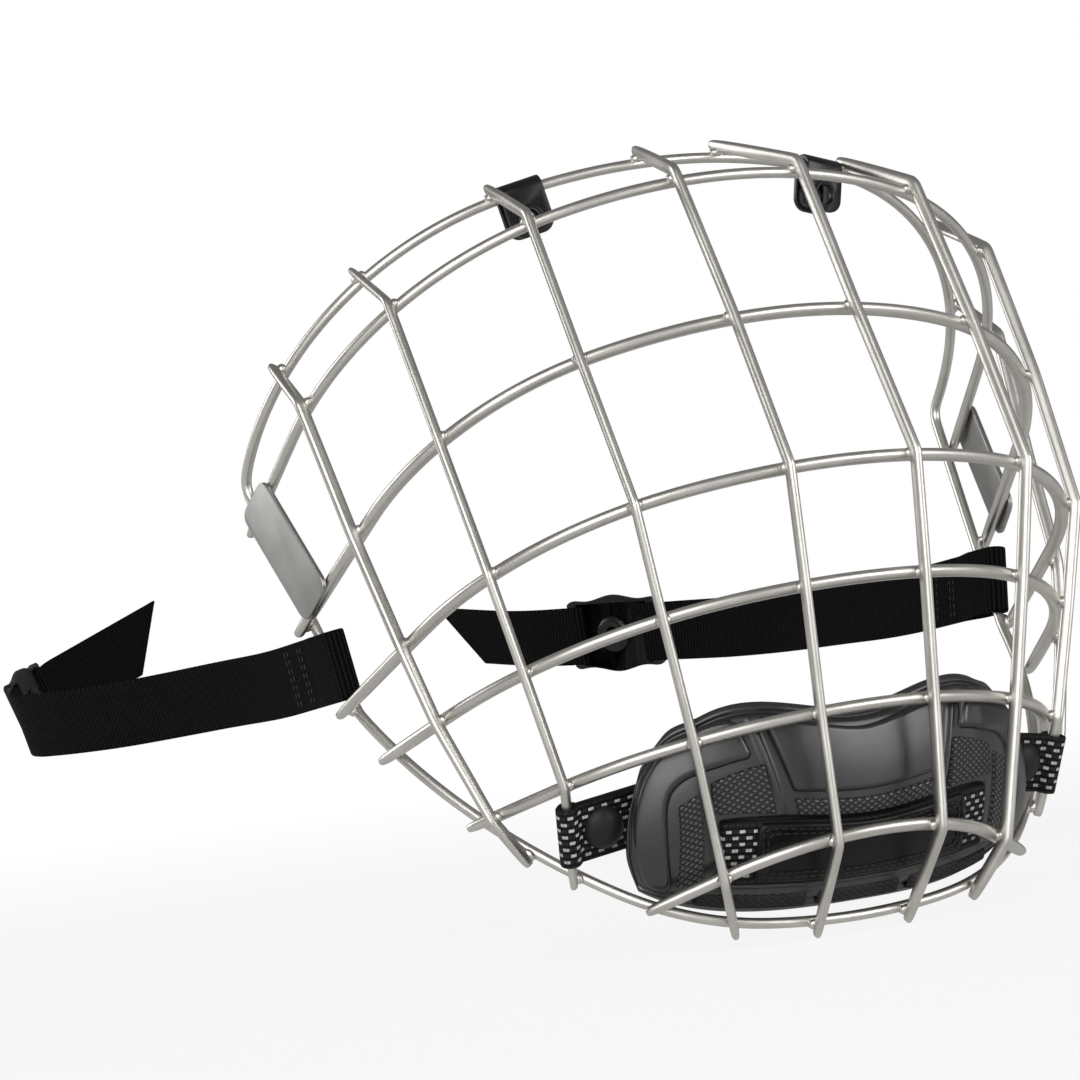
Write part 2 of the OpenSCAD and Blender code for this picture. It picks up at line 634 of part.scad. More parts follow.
// Closed slab between two grids of the same size, the first one outside.
module grid_slab(outer, inner) {
    nu = len(outer) - 1;
    nv = len(outer[0]) - 1;
    m = nv + 1;
    half = (nu + 1) * m;
    edge = concat(
        [for (i = [0:1:nu - 1]) i * m],
        [for (j = [0:1:nv - 1]) nu * m + j],
        [for (i = [nu:-1:1]) i * m + nv],
        [for (j = [nv:-1:1]) j]);
    e = len(edge);
    polyhedron(
        points = concat([for (r = outer, p = r) p], [for (r = inner, p = r) p]),
        faces = concat(
            [for (i = [0:1:nu - 1], j = [0:1:nv - 1], k = [0, 1])
                let (a = i * m + j, b = a + 1, c = a + m + 1, d = a + m)
                k == 0 ? [a, b, c] : [a, c, d]],
            [for (i = [0:1:nu - 1], j = [0:1:nv - 1], k = [0, 1])
                let (a = half + i * m + j, b = a + 1, c = a + m + 1, d = a + m)
                k == 0 ? [a, c, b] : [a, d, c]],
            [for (i = [0:1:e - 1], k = [0, 1])
                let (a = edge[i], b = edge[(i + 1) % e])
                k == 0 ? [a, b, b + half] : [a, b + half, a + half]]),
        convexity = 6);
}

// A piece laid on the cup between four corners, each an angle and a height, and two depths.
function between(c, u, v) =
    (c[0] * (1 - u) + c[1] * u) * (1 - v) + (c[3] * (1 - u) + c[2] * u) * v;
module cup_piece(c, low, high, nu, nv, bevel = 0.04) {
    function grid(d, e) =
        [for (i = [0:1:nu]) [for (j = [0:1:nv])
            let (q = between(c, e + (1 - 2 * e) * i / nu, e + (1 - 2 * e) * j / nv))
            cup_point(q[0], q[1], d)]];
    grid_slab(grid(high, bevel), grid(low, 0));
}
function box_corners(a0, a1, h0, h1) = [[a0, h0], [a1, h0], [a1, h1], [a0, h1]];

// Moulded shell with its edge rolled over.
module chin_shell() {
    nu = 32;
    nv = 12;
    color([0.10, 0.10, 0.11]) hung()
    grid_slab(
        [for (i = [0:1:nu]) [for (j = [0:1:nv])
            let (u = 2 * i / nu - 1, v = 2 * j / nv - 1, e = max(pow(abs(u), 16), pow(abs(v), 12)))
            cup_point(cup_end * u, (v + 1) / 2, -e * shell_t * 0.4)]],
        [for (i = [0:1:nu]) [for (j = [0:1:nv])
            let (u = 2 * i / nu - 1, v = 2 * j / nv - 1, e = max(pow(abs(u), 16), pow(abs(v), 12)))
            cup_point(cup_end * u, (v + 1) / 2, -shell_t + e * shell_t * 0.15)]]);
}

liner_end = 58;
module chin_liner() {
    nu = 22;
    nv = 10;
    color([0.16, 0.16, 0.17]) hung()
    grid_slab(
        [for (i = [0:1:nu]) [for (j = [0:1:nv])
            cup_point(liner_end * (2 * i / nu - 1), 0.05 + 0.9 * j / nv, -shell_t - 0.15)]],
        [for (i = [0:1:nu]) [for (j = [0:1:nv])
            let (u = 2 * i / nu - 1, v = 2 * j / nv - 1,
                crown = 1 - 0.7 * max(pow(abs(u), 6), pow(abs(v), 4)))
            cup_point(liner_end * u * 0.99, 0.06 + 0.88 * j / nv, -shell_t - 0.15 - liner_t * crown)]]);
}

panel_seat = 0.1;
panel_t = 1.6;
module panel(c, nu, nv, t, bevel = 0.06) { cup_piece(c, panel_seat, panel_seat + t, nu, nv, bevel); }
module chin_panel_centre() {
    color([0.12, 0.12, 0.13]) hung()
    panel([[-19.5, 0.62], [19.5, 0.62], [29, 0.95], [-29, 0.95]], 10, 4, panel_t);
}
module chin_grip_centre() {
    color([0.08, 0.08, 0.09]) hung() panel(box_corners(-19, 19, 0.475, 0.59), 8, 2, panel_t * 0.7, 0.05);
}
wing_start = 31;
module wing_panel() {
    panel([[wing_start, 0.72], [60, 0.70], [58, 0.90], [wing_start + 3, 0.95]], 6, 3, panel_t);
}
module grip_side() { panel([[22, 0.475], [44, 0.475], [46, 0.66], [26, 0.66]], 5, 3, panel_t * 0.7); }
module end_panel() { panel([[49, 0.12], [61, 0.15], [63, 0.62], [49, 0.66]], 4, 6, panel_t); }
module chin_wing_left() { color([0.12, 0.12, 0.13]) hung() wing_panel(); }
module chin_wing_right() { color([0.12, 0.12, 0.13]) hung() mirror([1, 0, 0]) wing_panel(); }
module chin_grip_left() { color([0.08, 0.08, 0.09]) hung() grip_side(); }
module chin_grip_right() { color([0.08, 0.08, 0.09]) hung() mirror([1, 0, 0]) grip_side(); }
module chin_end_panel_left() { color([0.10, 0.10, 0.11]) hung() end_panel(); }
module chin_end_panel_right() { color([0.10, 0.10, 0.11]) hung() mirror([1, 0, 0]) end_panel(); }

// Chin webbing across the front between the two end panels, with a bare patch sewn on it.
band_mid_h = 0.278;
band_half_h = chin_web_w / 2 / (cup_high - cup_low);
module chin_band() {
    color([0.07, 0.07, 0.07]) hung()
    cup_piece(box_corners(-48.5, 48.5, band_mid_h - band_half_h, band_mid_h + band_half_h),
        panel_seat, panel_seat + web_t, 24, 5, 0.005);
}
patch_t = 0.9;
module chin_patch() {
    color([0.03, 0.03, 0.03]) hung()
    cup_piece(box_corners(-28, 28, band_mid_h - band_half_h * 0.84, band_mid_h + band_half_h * 0.84),
        panel_seat + web_t + 0.08, panel_seat + web_t + 0.08 + patch_t, 14, 4, 0.01);
}

// Chin cup tabs: webbing looped round the third bars and tucked behind the shell ends
third = bar_corners(bar_third);
third_out = bar_out(bar_third);
tab_top = third[5];
tab_foot = third[6];
tab_up = unit(tab_top - tab_foot);
tab_origin = tab_foot + (tab_top - tab_foot) * tab_along;
tab_double = 2 * web_t + layer_gap;
tab_back = 4.6;
tab_target = cup_point(70, 0.47, -(shell_t + 0.3 + tab_double / 2)) + [0, tab_back, 0];
tab_reach = (tab_target - tab_origin) - tab_up * ((tab_target - tab_origin) * tab_up);
tab_x = unit(tab_reach);
tab_y = cross(tab_up, tab_x);
tab_tuck = 6;
tab_slack = 0.5;
bar_face = atan2(third_out[5] * tab_y, third_out[5] * tab_x);

module stadium(thin, deep) {
    for (s = [-1, 1]) translate([s * (deep - thin) / 2, 0]) circle(d = thin);
    square([deep - thin, thin], center = true);
}
// Local x towards the cup, y outwards, z up the bar.
module tab_webbing() {
    thin = bar_thin + 2 * tab_slack;
    deep = bar_deep + 2 * tab_slack;
    place(tab_origin, tab_x, tab_y, tab_up)
        linear_extrude(chin_web_w, center = true)
            difference() {
                union() {
                    rotate([0, 0, bar_face]) stadium(thin + 2 * web_t, deep + 2 * web_t);
                    translate([0, -tab_double / 2]) square([norm(tab_reach) + tab_tuck, tab_double]);
                }
                rotate([0, 0, bar_face]) stadium(thin, deep);
            }
}
cover_t = 1.6;
cover_r = chin_web_w / 2 - 1.2;
cover_start = bar_deep / 2 + tab_slack + web_t + 0.7;
cover_short = 4.6;
cover_end = norm(tab_reach) - cover_short;
module snap_cover() {
    place(tab_origin, tab_x, tab_y, tab_up)
        translate([0, tab_double / 2 + 0.08, 0]) rotate([-90, 0, 0]) {
            linear_extrude(cover_t) intersection() {
                union() {
                    translate([cover_start + cover_r, 0]) circle(r = cover_r);
                    translate([cover_start + cover_r, -cover_r]) square([40, 2 * cover_r]);
                }
                translate([0, -20]) square([cover_end, 40]);
            }
            translate([cover_start + cover_r * 0.8, 0, cover_t]) rotate_extrude($fn = 48)
                polygon([[0, 0], [4, 0], [3.6, 0.6], [2.6, 1], [0, 1.2]]);
        }
}
module chin_tab_left() { color([0.07, 0.07, 0.07]) hung() tab_webbing(); }
module chin_tab_right() { color([0.07, 0.07, 0.07]) hung() mirror([1, 0, 0]) tab_webbing(); }
module snap_cover_left() { color([0.10, 0.10, 0.10]) hung() snap_cover(); }
module snap_cover_right() { color([0.10, 0.10, 0.10]) hung() mirror([1, 0, 0]) snap_cover(); }

frame_wire();
brow_wire();
cross_wire_1();
cross_wire_2();
cross_wire_3();
cross_wire_4();
cross_wire_5();
bar_inner_left();
bar_inner_right();
bar_second_left();
bar_second_right();
bar_third_left();
bar_third_right();
bar_outer_left();
bar_outer_right();
ear_plate_left();
ear_plate_right();
helmet_clip_left();
helmet_clip_right();
side_strap_left();
side_strap_right();
buckle_left();
buckle_right();
snap_left();
snap_right();
chin_shell();
chin_liner();
chin_panel_centre();
chin_grip_centre();
chin_wing_left();
chin_wing_right();
chin_grip_left();
chin_grip_right();
chin_end_panel_left();
chin_end_panel_right();
chin_band();
chin_patch();
chin_tab_left();
chin_tab_right();
snap_cover_left();
snap_cover_right();
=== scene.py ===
import itertools
import json
import math

import bmesh
import bpy
import numpy as np
from mathutils import Matrix, Vector
from mathutils.bvhtree import BVHTree

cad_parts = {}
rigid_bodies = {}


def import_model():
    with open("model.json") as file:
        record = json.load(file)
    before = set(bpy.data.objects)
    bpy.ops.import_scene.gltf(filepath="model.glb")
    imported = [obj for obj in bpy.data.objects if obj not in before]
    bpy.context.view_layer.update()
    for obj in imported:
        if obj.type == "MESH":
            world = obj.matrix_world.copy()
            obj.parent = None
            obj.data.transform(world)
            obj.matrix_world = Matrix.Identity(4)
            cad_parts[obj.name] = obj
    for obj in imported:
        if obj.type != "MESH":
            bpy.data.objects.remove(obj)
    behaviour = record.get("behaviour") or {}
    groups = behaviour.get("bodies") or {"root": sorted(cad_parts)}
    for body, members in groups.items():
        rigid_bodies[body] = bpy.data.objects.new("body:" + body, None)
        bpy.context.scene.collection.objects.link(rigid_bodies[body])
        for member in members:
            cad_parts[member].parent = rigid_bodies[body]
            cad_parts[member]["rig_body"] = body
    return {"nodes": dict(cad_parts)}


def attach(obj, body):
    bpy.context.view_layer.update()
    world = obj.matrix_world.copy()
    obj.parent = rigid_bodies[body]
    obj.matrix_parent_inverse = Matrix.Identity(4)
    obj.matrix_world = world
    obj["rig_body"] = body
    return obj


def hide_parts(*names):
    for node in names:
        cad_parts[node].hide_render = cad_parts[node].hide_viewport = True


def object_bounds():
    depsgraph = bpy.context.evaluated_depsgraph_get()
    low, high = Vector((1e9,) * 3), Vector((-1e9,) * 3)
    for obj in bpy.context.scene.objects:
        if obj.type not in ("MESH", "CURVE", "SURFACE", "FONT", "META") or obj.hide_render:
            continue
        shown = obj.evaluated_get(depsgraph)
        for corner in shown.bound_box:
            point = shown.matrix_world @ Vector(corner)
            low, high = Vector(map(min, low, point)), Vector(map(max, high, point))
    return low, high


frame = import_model()
cad_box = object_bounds()
MM = 0.001
SIDES = ("left", "right")
# Corners of a CAD piece that lie closer than this are one point
MERGE_WITHIN = 0.00001

# The view of the photograph, in the frame's own metres.
VIEW_TURN = math.radians(27)
VIEW_ROLL = math.radians(6.75)
CAMERA_PLACE = Vector((-0.6337, -1.13172, -0.09020))
LENS_MM = 150.87
SENSOR_MM = 36


def add_camera():
    forward = Vector((math.sin(VIEW_TURN), math.cos(VIEW_TURN), 0))
    level = Vector((math.cos(VIEW_TURN), -math.sin(VIEW_TURN), 0))
    upright = Vector((0, 0, 1))
    right = level * math.cos(VIEW_ROLL) - upright * math.sin(VIEW_ROLL)
    up = level * math.sin(VIEW_ROLL) + upright * math.cos(VIEW_ROLL)
    data = bpy.data.cameras.new("photo_view")
    data.lens = LENS_MM
    data.sensor_width = SENSOR_MM
    data.clip_start, data.clip_end = 0.05, 20
    camera = bpy.data.objects.new("photo_view", data)
    axes = Matrix((right, up, -forward)).transposed().to_4x4()
    camera.matrix_world = Matrix.Translation(CAMERA_PLACE) @ axes
    bpy.context.scene.collection.objects.link(camera)
    bpy.context.scene.camera = camera


add_camera()


class Value:
    """A shader socket that takes part in Python expressions."""

    def __init__(self, paint, socket):
        self.paint = paint
        self.socket = socket

    def _math(self, kind, *others):
        return self.paint.node("ShaderNodeMath", {"operation": kind}, *others).first

    def __add__(self, other):
        return self._math("ADD", self, other)

    def __radd__(self, other):
        return self._math("ADD", other, self)

    def __sub__(self, other):
        return self._math("SUBTRACT", self, other)

    def __rsub__(self, other):
        return self._math("SUBTRACT", other, self)

    def __mul__(self, other):
        return self._math("MULTIPLY", self, other)

    def __rmul__(self, other):
        return self._math("MULTIPLY", other, self)

    def __truediv__(self, other):
        return self._math("DIVIDE", self, other)

    def fract(self):
        return self._math("FRACT", self)

    def size(self):
        return self._math("ABSOLUTE", self)

    def larger(self, other):
        return self._math("MAXIMUM", self, other)

    def wave(self):
        return self._math("SINE", self)


class Made:
    """A node that was added, whose outputs are read by name."""

    def __init__(self, paint, node):
        self.paint = paint
        self.node = node

    @property
    def first(self):
        return Value(self.paint, next(o for o in self.node.outputs if o.enabled))

    def __getitem__(self, name):
        return Value(self.paint, self.node.outputs[name])


class Paint:
    """One material, built round a Principled shader."""

    def __init__(self, name, **constants):
        self.material = bpy.data.materials.new(name)
        self.material.use_nodes = True
        self.tree = self.material.node_tree
        self.shader = next(n for n in self.tree.nodes if n.type == "BSDF_PRINCIPLED")
        for socket, value in constants.items():
            self.shader.inputs[socket.replace("_", " ")].default_value = value

    def node(self, kind, settings=None, *by_order, **by_name):
        made = self.tree.nodes.new(kind)
        for key, value in (settings or {}).items():
            setattr(made, key, value)
        for i, value in enumerate(by_order):
            self._give(made.inputs[i], value)
        for key, value in by_name.items():
            name = key.replace("_", " ")
            self._give(next(s for s in made.inputs if s.enabled and s.name == name), value)
        return Made(self, made)

    def _give(self, socket, value):
        if isinstance(value, Made):
            value = value.first
        if isinstance(value, Value):
            self.tree.links.new(value.socket, socket)
        elif value is not None:
            socket.default_value = value

    def feed(self, **sockets):
        for name, value in sockets.items():
            self._give(self.shader.inputs[name.replace("_", " ")], value)
        return self

    def place(self, scale=(1, 1, 1), turn=(0, 0, 0)):
        coords = self.node("ShaderNodeTexCoord")["Object"]
        return self.node("ShaderNodeMapping", {}, Vector=coords, Scale=scale, Rotation=turn).first

    def uv(self):
        """The two directions of a piece's own lie, in millimetres."""
        parts = self.node("ShaderNodeSeparateXYZ", {}, self.node("ShaderNodeTexCoord")["UV"])
        return parts["X"], parts["Y"]

    def attribute(self, name):
        return self.node("ShaderNodeAttribute", {"attribute_name": name})["Fac"]

    def noise(self, scale, detail=2.0, rough=0.5, at=None):
        return self.node("ShaderNodeTexNoise", {}, Vector=at or self.place(), Scale=scale,
                         Detail=detail, Roughness=rough)["Fac"]

    def curve(self, value, low, high, to_low=0.0, to_high=1.0):
        """value from low..high to to_low..to_high, held at both ends."""
        return self.node("ShaderNodeMapRange", {"clamp": True}, value, low, high, to_low, to_high)["Result"]

    def mix(self, share, a, b):
        made = self.tree.nodes.new("ShaderNodeMix")
        made.data_type = "RGBA"
        self._give(made.inputs["Factor"], share)
        for socket, value in (("A", a), ("B", b)):
            self._give(next(s for s in made.inputs if s.name == socket and s.type == "RGBA"), value)
        return Value(self, next(s for s in made.outputs if s.type == "RGBA"))

    def bump(self, height, distance, strength=1.0, under=None):
        """A normal from a height between 0 and 1 and its depth in metres."""
        return self.node("ShaderNodeBump", {}, Height=height, Distance=distance,
                         Strength=strength, Normal=under)["Normal"]


def rgb(r, g, b):
    return (r, g, b, 1.0)


# Finishes, whose patterns are in millimetres on a piece's own lie
DIAMOND_LONG, DIAMOND_TALL = 2.5, 1.75
RIB_PITCH, RIB_STITCH = 1.2, 0.8
DASH_PITCH, DASH_ROW, DASHES_END = 4.1, 1.85, 7.9


def wire_finish():
    p = Paint("satin_steel_wire", Metallic=1.0)
    broad = p.noise(70, 3, 0.6)
    fine = p.noise(260, 2, 0.5)
    colour = p.mix(p.curve(broad, 0.35, 0.7), rgb(0.60, 0.58, 0.54), rgb(0.70, 0.68, 0.64))
    colour = p.mix(p.attribute("heat"), colour, rgb(0.34, 0.24, 0.15))
    p.feed(Base_Color=colour, Roughness=p.curve(broad * 0.5 + fine * 0.5, 0.3, 0.7, 0.34, 0.40),
           Normal=p.bump(fine, 0.00001, 0.3))
    return p.material


def plate_finish():
    p = Paint("brushed_ear_plate", Metallic=1.0)
    streaks = p.noise(500, 2, 0.6, p.place((1, 0.08, 0.08), (0.5, 0, 0)))
    cloud = p.noise(60, 3, 0.55)
    colour = p.mix(p.curve(cloud, 0.35, 0.7), rgb(0.35, 0.345, 0.335), rgb(0.43, 0.425, 0.41))
    p.feed(Base_Color=colour, Roughness=p.curve(streaks, 0.3, 0.7, 0.36, 0.5),
           Normal=p.bump(streaks, 0.00002, 0.5))
    return p.material


def coating_finish():
    p = Paint("black_coated_clip", Specular_IOR_Level=0.4)
    orange_peel = p.noise(700, 2, 0.5)
    cloud = p.noise(120, 3, 0.5)
    p.feed(Base_Color=p.mix(cloud, rgb(0.004, 0.004, 0.005), rgb(0.010, 0.010, 0.011)),
           Roughness=p.curve(cloud, 0.3, 0.7, 0.22, 0.34), Normal=p.bump(orange_peel, 0.00003, 0.4))
    return p.material


def moulded_finish(name, dark, pale, rough_low, rough_high, shine):
    p = Paint(name, Specular_IOR_Level=shine)
    pores = p.noise(1300, 2, 0.6)
    cloud = p.noise(70, 4, 0.6)
    p.feed(Base_Color=p.mix(cloud, rgb(dark, dark, dark * 1.04), rgb(pale, pale, pale * 1.04)),
           Roughness=p.curve(cloud, 0.3, 0.7, rough_low, rough_high), Normal=p.bump(pores, 0.00004, 0.5))
    return p.material


def diamond_finish(name, dark, pale, rough_low, rough_high, shine, depth, strength):
    """Raised lozenges, with a painted highlight on their tops and painted shade in the grooves between them.
    """
    p = Paint(name, Specular_IOR_Level=shine)
    x, y = p.uv()
    one = ((x / DIAMOND_LONG + y / DIAMOND_TALL).fract() - 0.5).size()
    two = ((x / DIAMOND_LONG - y / DIAMOND_TALL).fract() - 0.5).size()
    raised = p.curve(one.larger(two), 0.42, 0.26)
    # the colour is painted light: pale on the lozenges' tops as painted highlight, dark between them as
    # painted shade
    p.feed(Base_Color=p.mix(raised, rgb(dark, dark, dark), rgb(pale, pale, pale + 0.001)),
           Roughness=p.curve(raised, 0, 1, rough_low, rough_high), Normal=p.bump(raised, depth, strength))
    return p.material


def strap_finish():
    """Ribs across the strap, each a row of small stitches, with painted shade between the ribs and between
    the stitches.
    """
    p = Paint("black_webbing", Specular_IOR_Level=0.05)
    across, along = p.uv()
    rib = (along * (2 * math.pi / RIB_PITCH)).wave() * 0.5 + 0.5
    shift = p.curve(((along - RIB_PITCH / 4) / (2 * RIB_PITCH)).fract(), 0.49, 0.51) * 0.5
    stitch = ((across / RIB_STITCH + shift).fract() - 0.5).size()
    yarn = rib * p.curve(stitch, 0.5, 0.2)
    fuzz = p.noise(1500, 2, 0.6)
    painted_shade_and_fuzz = yarn * p.curve(fuzz, 0.2, 0.8, 0.5, 1.0)
    # colour: painted shade in the rib troughs and between the stitches, with random tone from the fuzz
    p.feed(Base_Color=p.mix(painted_shade_and_fuzz, rgb(0.0004, 0.0004, 0.0004), rgb(0.024, 0.024, 0.024)),
           Roughness=p.curve(yarn, 0, 1, 0.85, 0.5), Normal=p.bump(yarn, 0.0005, 1.0))
    return p.material


def flecked_finish():
    """Black webbing with pale dashes, set off by half a step from row to row."""
    p = Paint("flecked_webbing", Specular_IOR_Level=0.2)
    along, across = p.uv()
    odd = p.curve((across / (2 * DASH_ROW)).fract() - 0.5, -0.01, 0.01)
    weave = ((along / DASH_PITCH + odd * 0.5).fract() - 0.5).size()
    row = ((across / DASH_ROW).fract() - 0.5).size()
    block = p.curve(row, 0.30, 0.21)
    cell = p.curve(((along / (DASH_PITCH / 2) + odd * 0.5).fract() - 0.5).size(), 0.47, 0.40)
    fuzz = p.noise(900, 2, 0.6)
    fleck = p.curve(weave, 0.225, 0.19) * block * p.curve(fuzz, 0.25, 0.6, 0.55, 1.0)
    # the selvedges have no dashes
    fleck = fleck * p.curve(across.size(), DASHES_END, DASHES_END - 0.3)
    # the black is darker between the rows and between the cells: painted shade in the weave's gaps
    black = p.mix(block * cell, rgb(0.002, 0.002, 0.002), rgb(0.02, 0.02, 0.02))
    p.feed(Base_Color=p.mix(fleck, black, rgb(0.60, 0.60, 0.58)),
           Roughness=0.6, Normal=p.bump(block * cell, 0.0003, 1.0))
    return p.material


def thread_finish():
    p = Paint("black_thread", Specular_IOR_Level=0.45)
    twist = p.noise(2200, 2, 0.5)
    p.feed(Base_Color=p.mix(twist, rgb(0.004, 0.004, 0.004), rgb(0.014, 0.014, 0.014)),
           Roughness=p.curve(twist, 0.3, 0.7, 0.45, 0.65))
    return p.material


WIRE = wire_finish()
PLATE = plate_finish()
COATING = coating_finish()
PLASTIC = moulded_finish("buckle_plastic", 0.004, 0.008, 0.3, 0.42, 0.4)
FOAM = moulded_finish("moulded_cup_skin", 0.007, 0.013, 0.28, 0.38, 0.95)
LINING = moulded_finish("cup_lining", 0.012, 0.02, 0.6, 0.75, 0.2)
SNAP = moulded_finish("snap_metal", 0.003, 0.006, 0.25, 0.35, 0.4)
RUBBER = moulded_finish("snap_rubber", 0.008, 0.013, 0.42, 0.55, 0.3)
PATCH = moulded_finish("bare_patch", 0.002, 0.004, 0.34, 0.45, 0.3)
GRIP = diamond_finish("diamond_grip", 0.003, 0.075, 0.6, 0.3, 0.6, 0.0006, 1.0)
LIP = diamond_finish("faint_diamonds", 0.008, 0.016, 0.55, 0.42, 0.3, 0.0002, 0.8)
WEBBING = strap_finish()
FLECKED = flecked_finish()
THREAD = thread_finish()


def is_steel(node):
    return "wire" in node or node.startswith("bar_")


def finish_of(node):
    if is_steel(node):
        return WIRE
    for start, material in (("ear_plate", PLATE), ("helmet_clip", COATING), ("side_strap", WEBBING),
                            ("chin_band", FLECKED), ("chin_tab", FLECKED), ("buckle", PLASTIC),
                            ("snap_cover", RUBBER), ("snap_", SNAP), ("chin_grip", GRIP),
                            ("chin_patch", PATCH), ("chin_liner", LINING)):
        if node.startswith(start):
            return material
    return FOAM


def repaint(obj, material):
    obj.data.materials.clear()
    obj.data.materials.append(material)


for name, obj in frame["nodes"].items():
    repaint(obj, finish_of(name))


def stand_in(obj, body, nodes, material):
    """A finished piece: rides its body, takes its material and stands for its CAD nodes."""
    repaint(obj, material)
    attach(obj, body)
    if nodes:
        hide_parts(*nodes)
    return obj


def pick(obj):
    bpy.ops.object.select_all(action="DESELECT")
    bpy.context.view_layer.objects.active = obj
    obj.select_set(True)


def apply_modifiers(obj):
    pick(obj)
    for modifier in list(obj.modifiers):
        bpy.ops.object.modifier_apply(modifier=modifier.name)


def link_new(name, mesh):
    obj = bpy.data.objects.new(name, mesh)
    bpy.context.scene.collection.objects.link(obj)
    return obj


def merged_copy(node, piece, quads=True):
    """A copy of a CAD node with its doubles merged, and its triangles joined."""
    mesh = frame["nodes"][node].data.copy()
    shape = bmesh.new()
    shape.from_mesh(mesh)
    bmesh.ops.remove_doubles(shape, verts=shape.verts, dist=MERGE_WITHIN)
    if quads:
        bmesh.ops.join_triangles(shape, faces=shape.faces, angle_face_threshold=math.radians(60),
                                 angle_shape_threshold=math.radians(120))
    else:
        bmesh.ops.dissolve_limit(shape, angle_limit=math.radians(1), verts=shape.verts, edges=shape.edges)
    bmesh.ops.recalc_face_normals(shape, faces=shape.faces)
    for face in shape.faces:
        face.smooth = True
    shape.to_mesh(mesh)
    shape.free()
    mesh.update()
    return link_new(piece, mesh)


def body_of(node):
    return frame["nodes"][node]["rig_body"]


# Wires, in metres. Each grows a little before it is smoothed, and less where a clip or a tab is close.
SWELL, CLOSE_SWELL = 0.00025, 0.0001
WELD_GAP, WELDS_APART, RUN_REACH, HEAT_REACH = 0.0005, 0.008, 0.006, 0.006
BEAD_RADII = (0.0024, 0.0017, 0.0013)
BEAD_HEAT, WIRE_HEAT = 0.25, 0.45
HOT_BELOW, HOT_RIGHT_OF = -0.13, -0.1


def add_heat(obj, share):
    """The share of heat colour at each point, which the wires' finish reads."""
    heat = obj.data.attributes.new("heat", "FLOAT", "POINT")
    heat.data.foreach_set("value", [share] * len(obj.data.vertices))


def make_wires():
    made = {}
    for node in filter(is_steel, sorted(frame["nodes"])):
        wire = merged_copy(node, node + "_steel")
        swell = wire.modifiers.new("swell", "DISPLACE")
        swell.strength = CLOSE_SWELL if node.startswith(("frame", "bar_third")) else SWELL
        swell.mid_level = 0
        fine = wire.modifiers.new("fine", "SUBSURF")
        fine.levels = fine.render_levels = 2
        apply_modifiers(wire)
        add_heat(wire, 0.0)
        made[node] = stand_in(wire, "cage", [node], WIRE)
    return made


def points_of(obj):
    flat = np.empty(len(obj.data.vertices) * 3)
    obj.data.vertices.foreach_get("co", flat)
    return flat.reshape(-1, 3)


def open_new(name):
    """A new empty piece, open in edit mode."""
    obj = link_new(name, bpy.data.meshes.new(name))
    pick(obj)
    bpy.ops.object.mode_set(mode="EDIT")
    return obj


def close_smooth(obj):
    bpy.ops.object.mode_set(mode="OBJECT")
    for face in obj.data.polygons:
        face.use_smooth = True
    return obj


def add_ellipsoids(name, items, rings=6):
    """One mesh of small ellipsoids, each a place, an axis along and one across, and three radii."""
    obj = open_new(name)
    for place, along, across, radii in items:
        x = along.normalized()
        z = x.cross(across).normalized()
        turn = Matrix((x, z.cross(x), z)).transposed().to_euler()
        bpy.ops.mesh.select_all(action="DESELECT")
        bpy.ops.mesh.primitive_uv_sphere_add(segments=2 * rings, ring_count=rings, radius=1,
                                             location=place, rotation=turn, scale=radii)
    return close_smooth(obj)


def crossings(a, b):
    """Where two wires touch: middle of each cluster of points of a that lie near b."""
    tree = BVHTree.FromObject(b, bpy.context.evaluated_depsgraph_get())
    groups = []
    for p in points_of(a):
        hit = tree.find_nearest(Vector(p), WELD_GAP)[0]
        if hit is None:
            continue
        middle = (Vector(p) + hit) / 2
        for group in groups:
            if (group[0] - middle).length < WELDS_APART:
                group.append(middle)
                break
        else:
            groups.append([middle])
    return [sum(g, Vector()) / len(g) for g in groups]


def direction_near(obj, place):
    """The run of a wire near a point, from the spread of its own points there."""
    points = points_of(obj) - np.array(place)
    away = np.linalg.norm(points, axis=1)
    close = points[away < RUN_REACH]
    if len(close) < 6:
        close = points[np.argsort(away)[:24]]
    return Vector(np.linalg.svd(close - close.mean(0))[2][0])


def make_welds(wires):
    crossed = ["frame_wire", "brow_wire"] + ["cross_wire_%d" % i for i in range(1, 6)]
    pairs = [(bar, other) for bar in wires if bar.startswith("bar_") for other in crossed]
    pairs += [(other, "frame_wire") for other in crossed[1:]]
    items = []
    for a, b in pairs:
        for place in crossings(wires[a], wires[b]):
            run_a, run_b = direction_near(wires[a], place), direction_near(wires[b], place)
            items.append((place, run_b, run_a, BEAD_RADII))
    beads = add_ellipsoids("weld_beads", items)
    add_heat(beads, BEAD_HEAT)
    stand_in(beads, "cage", (), WIRE)
    # a little heat colour in the steel beside the welds that are low or far to the wearer's right
    hot = np.array([item[0] for item in items if item[0].z < HOT_BELOW or item[0].x < HOT_RIGHT_OF])
    for wire in wires.values():
        points = points_of(wire)
        reach = np.full(len(points), 1.0)
        for p in hot:
            reach = np.minimum(reach, np.linalg.norm(points - p, axis=1) / HEAT_REACH)
        heat = WIRE_HEAT * np.clip(1 - reach, 0, 1) ** 1.5
        wire.data.attributes["heat"].data.foreach_set("value", heat)


make_welds(make_wires())


# Hard small parts, in metres
COVER_WIDE, COVER_TALL, COVER_RISE = 0.0063, 0.0060, 0.0006
# The left clip screw hole and the way it faces, as its mount in the record states, and half its sheet
CLIP_HOLE_X, CLIP_FACING, HALF_CLIP = 0.0480391, (0.18773, -0.982221), 0.0007
EYELET_RADIUS, EYELET_WIRE = 0.0035, 0.0006


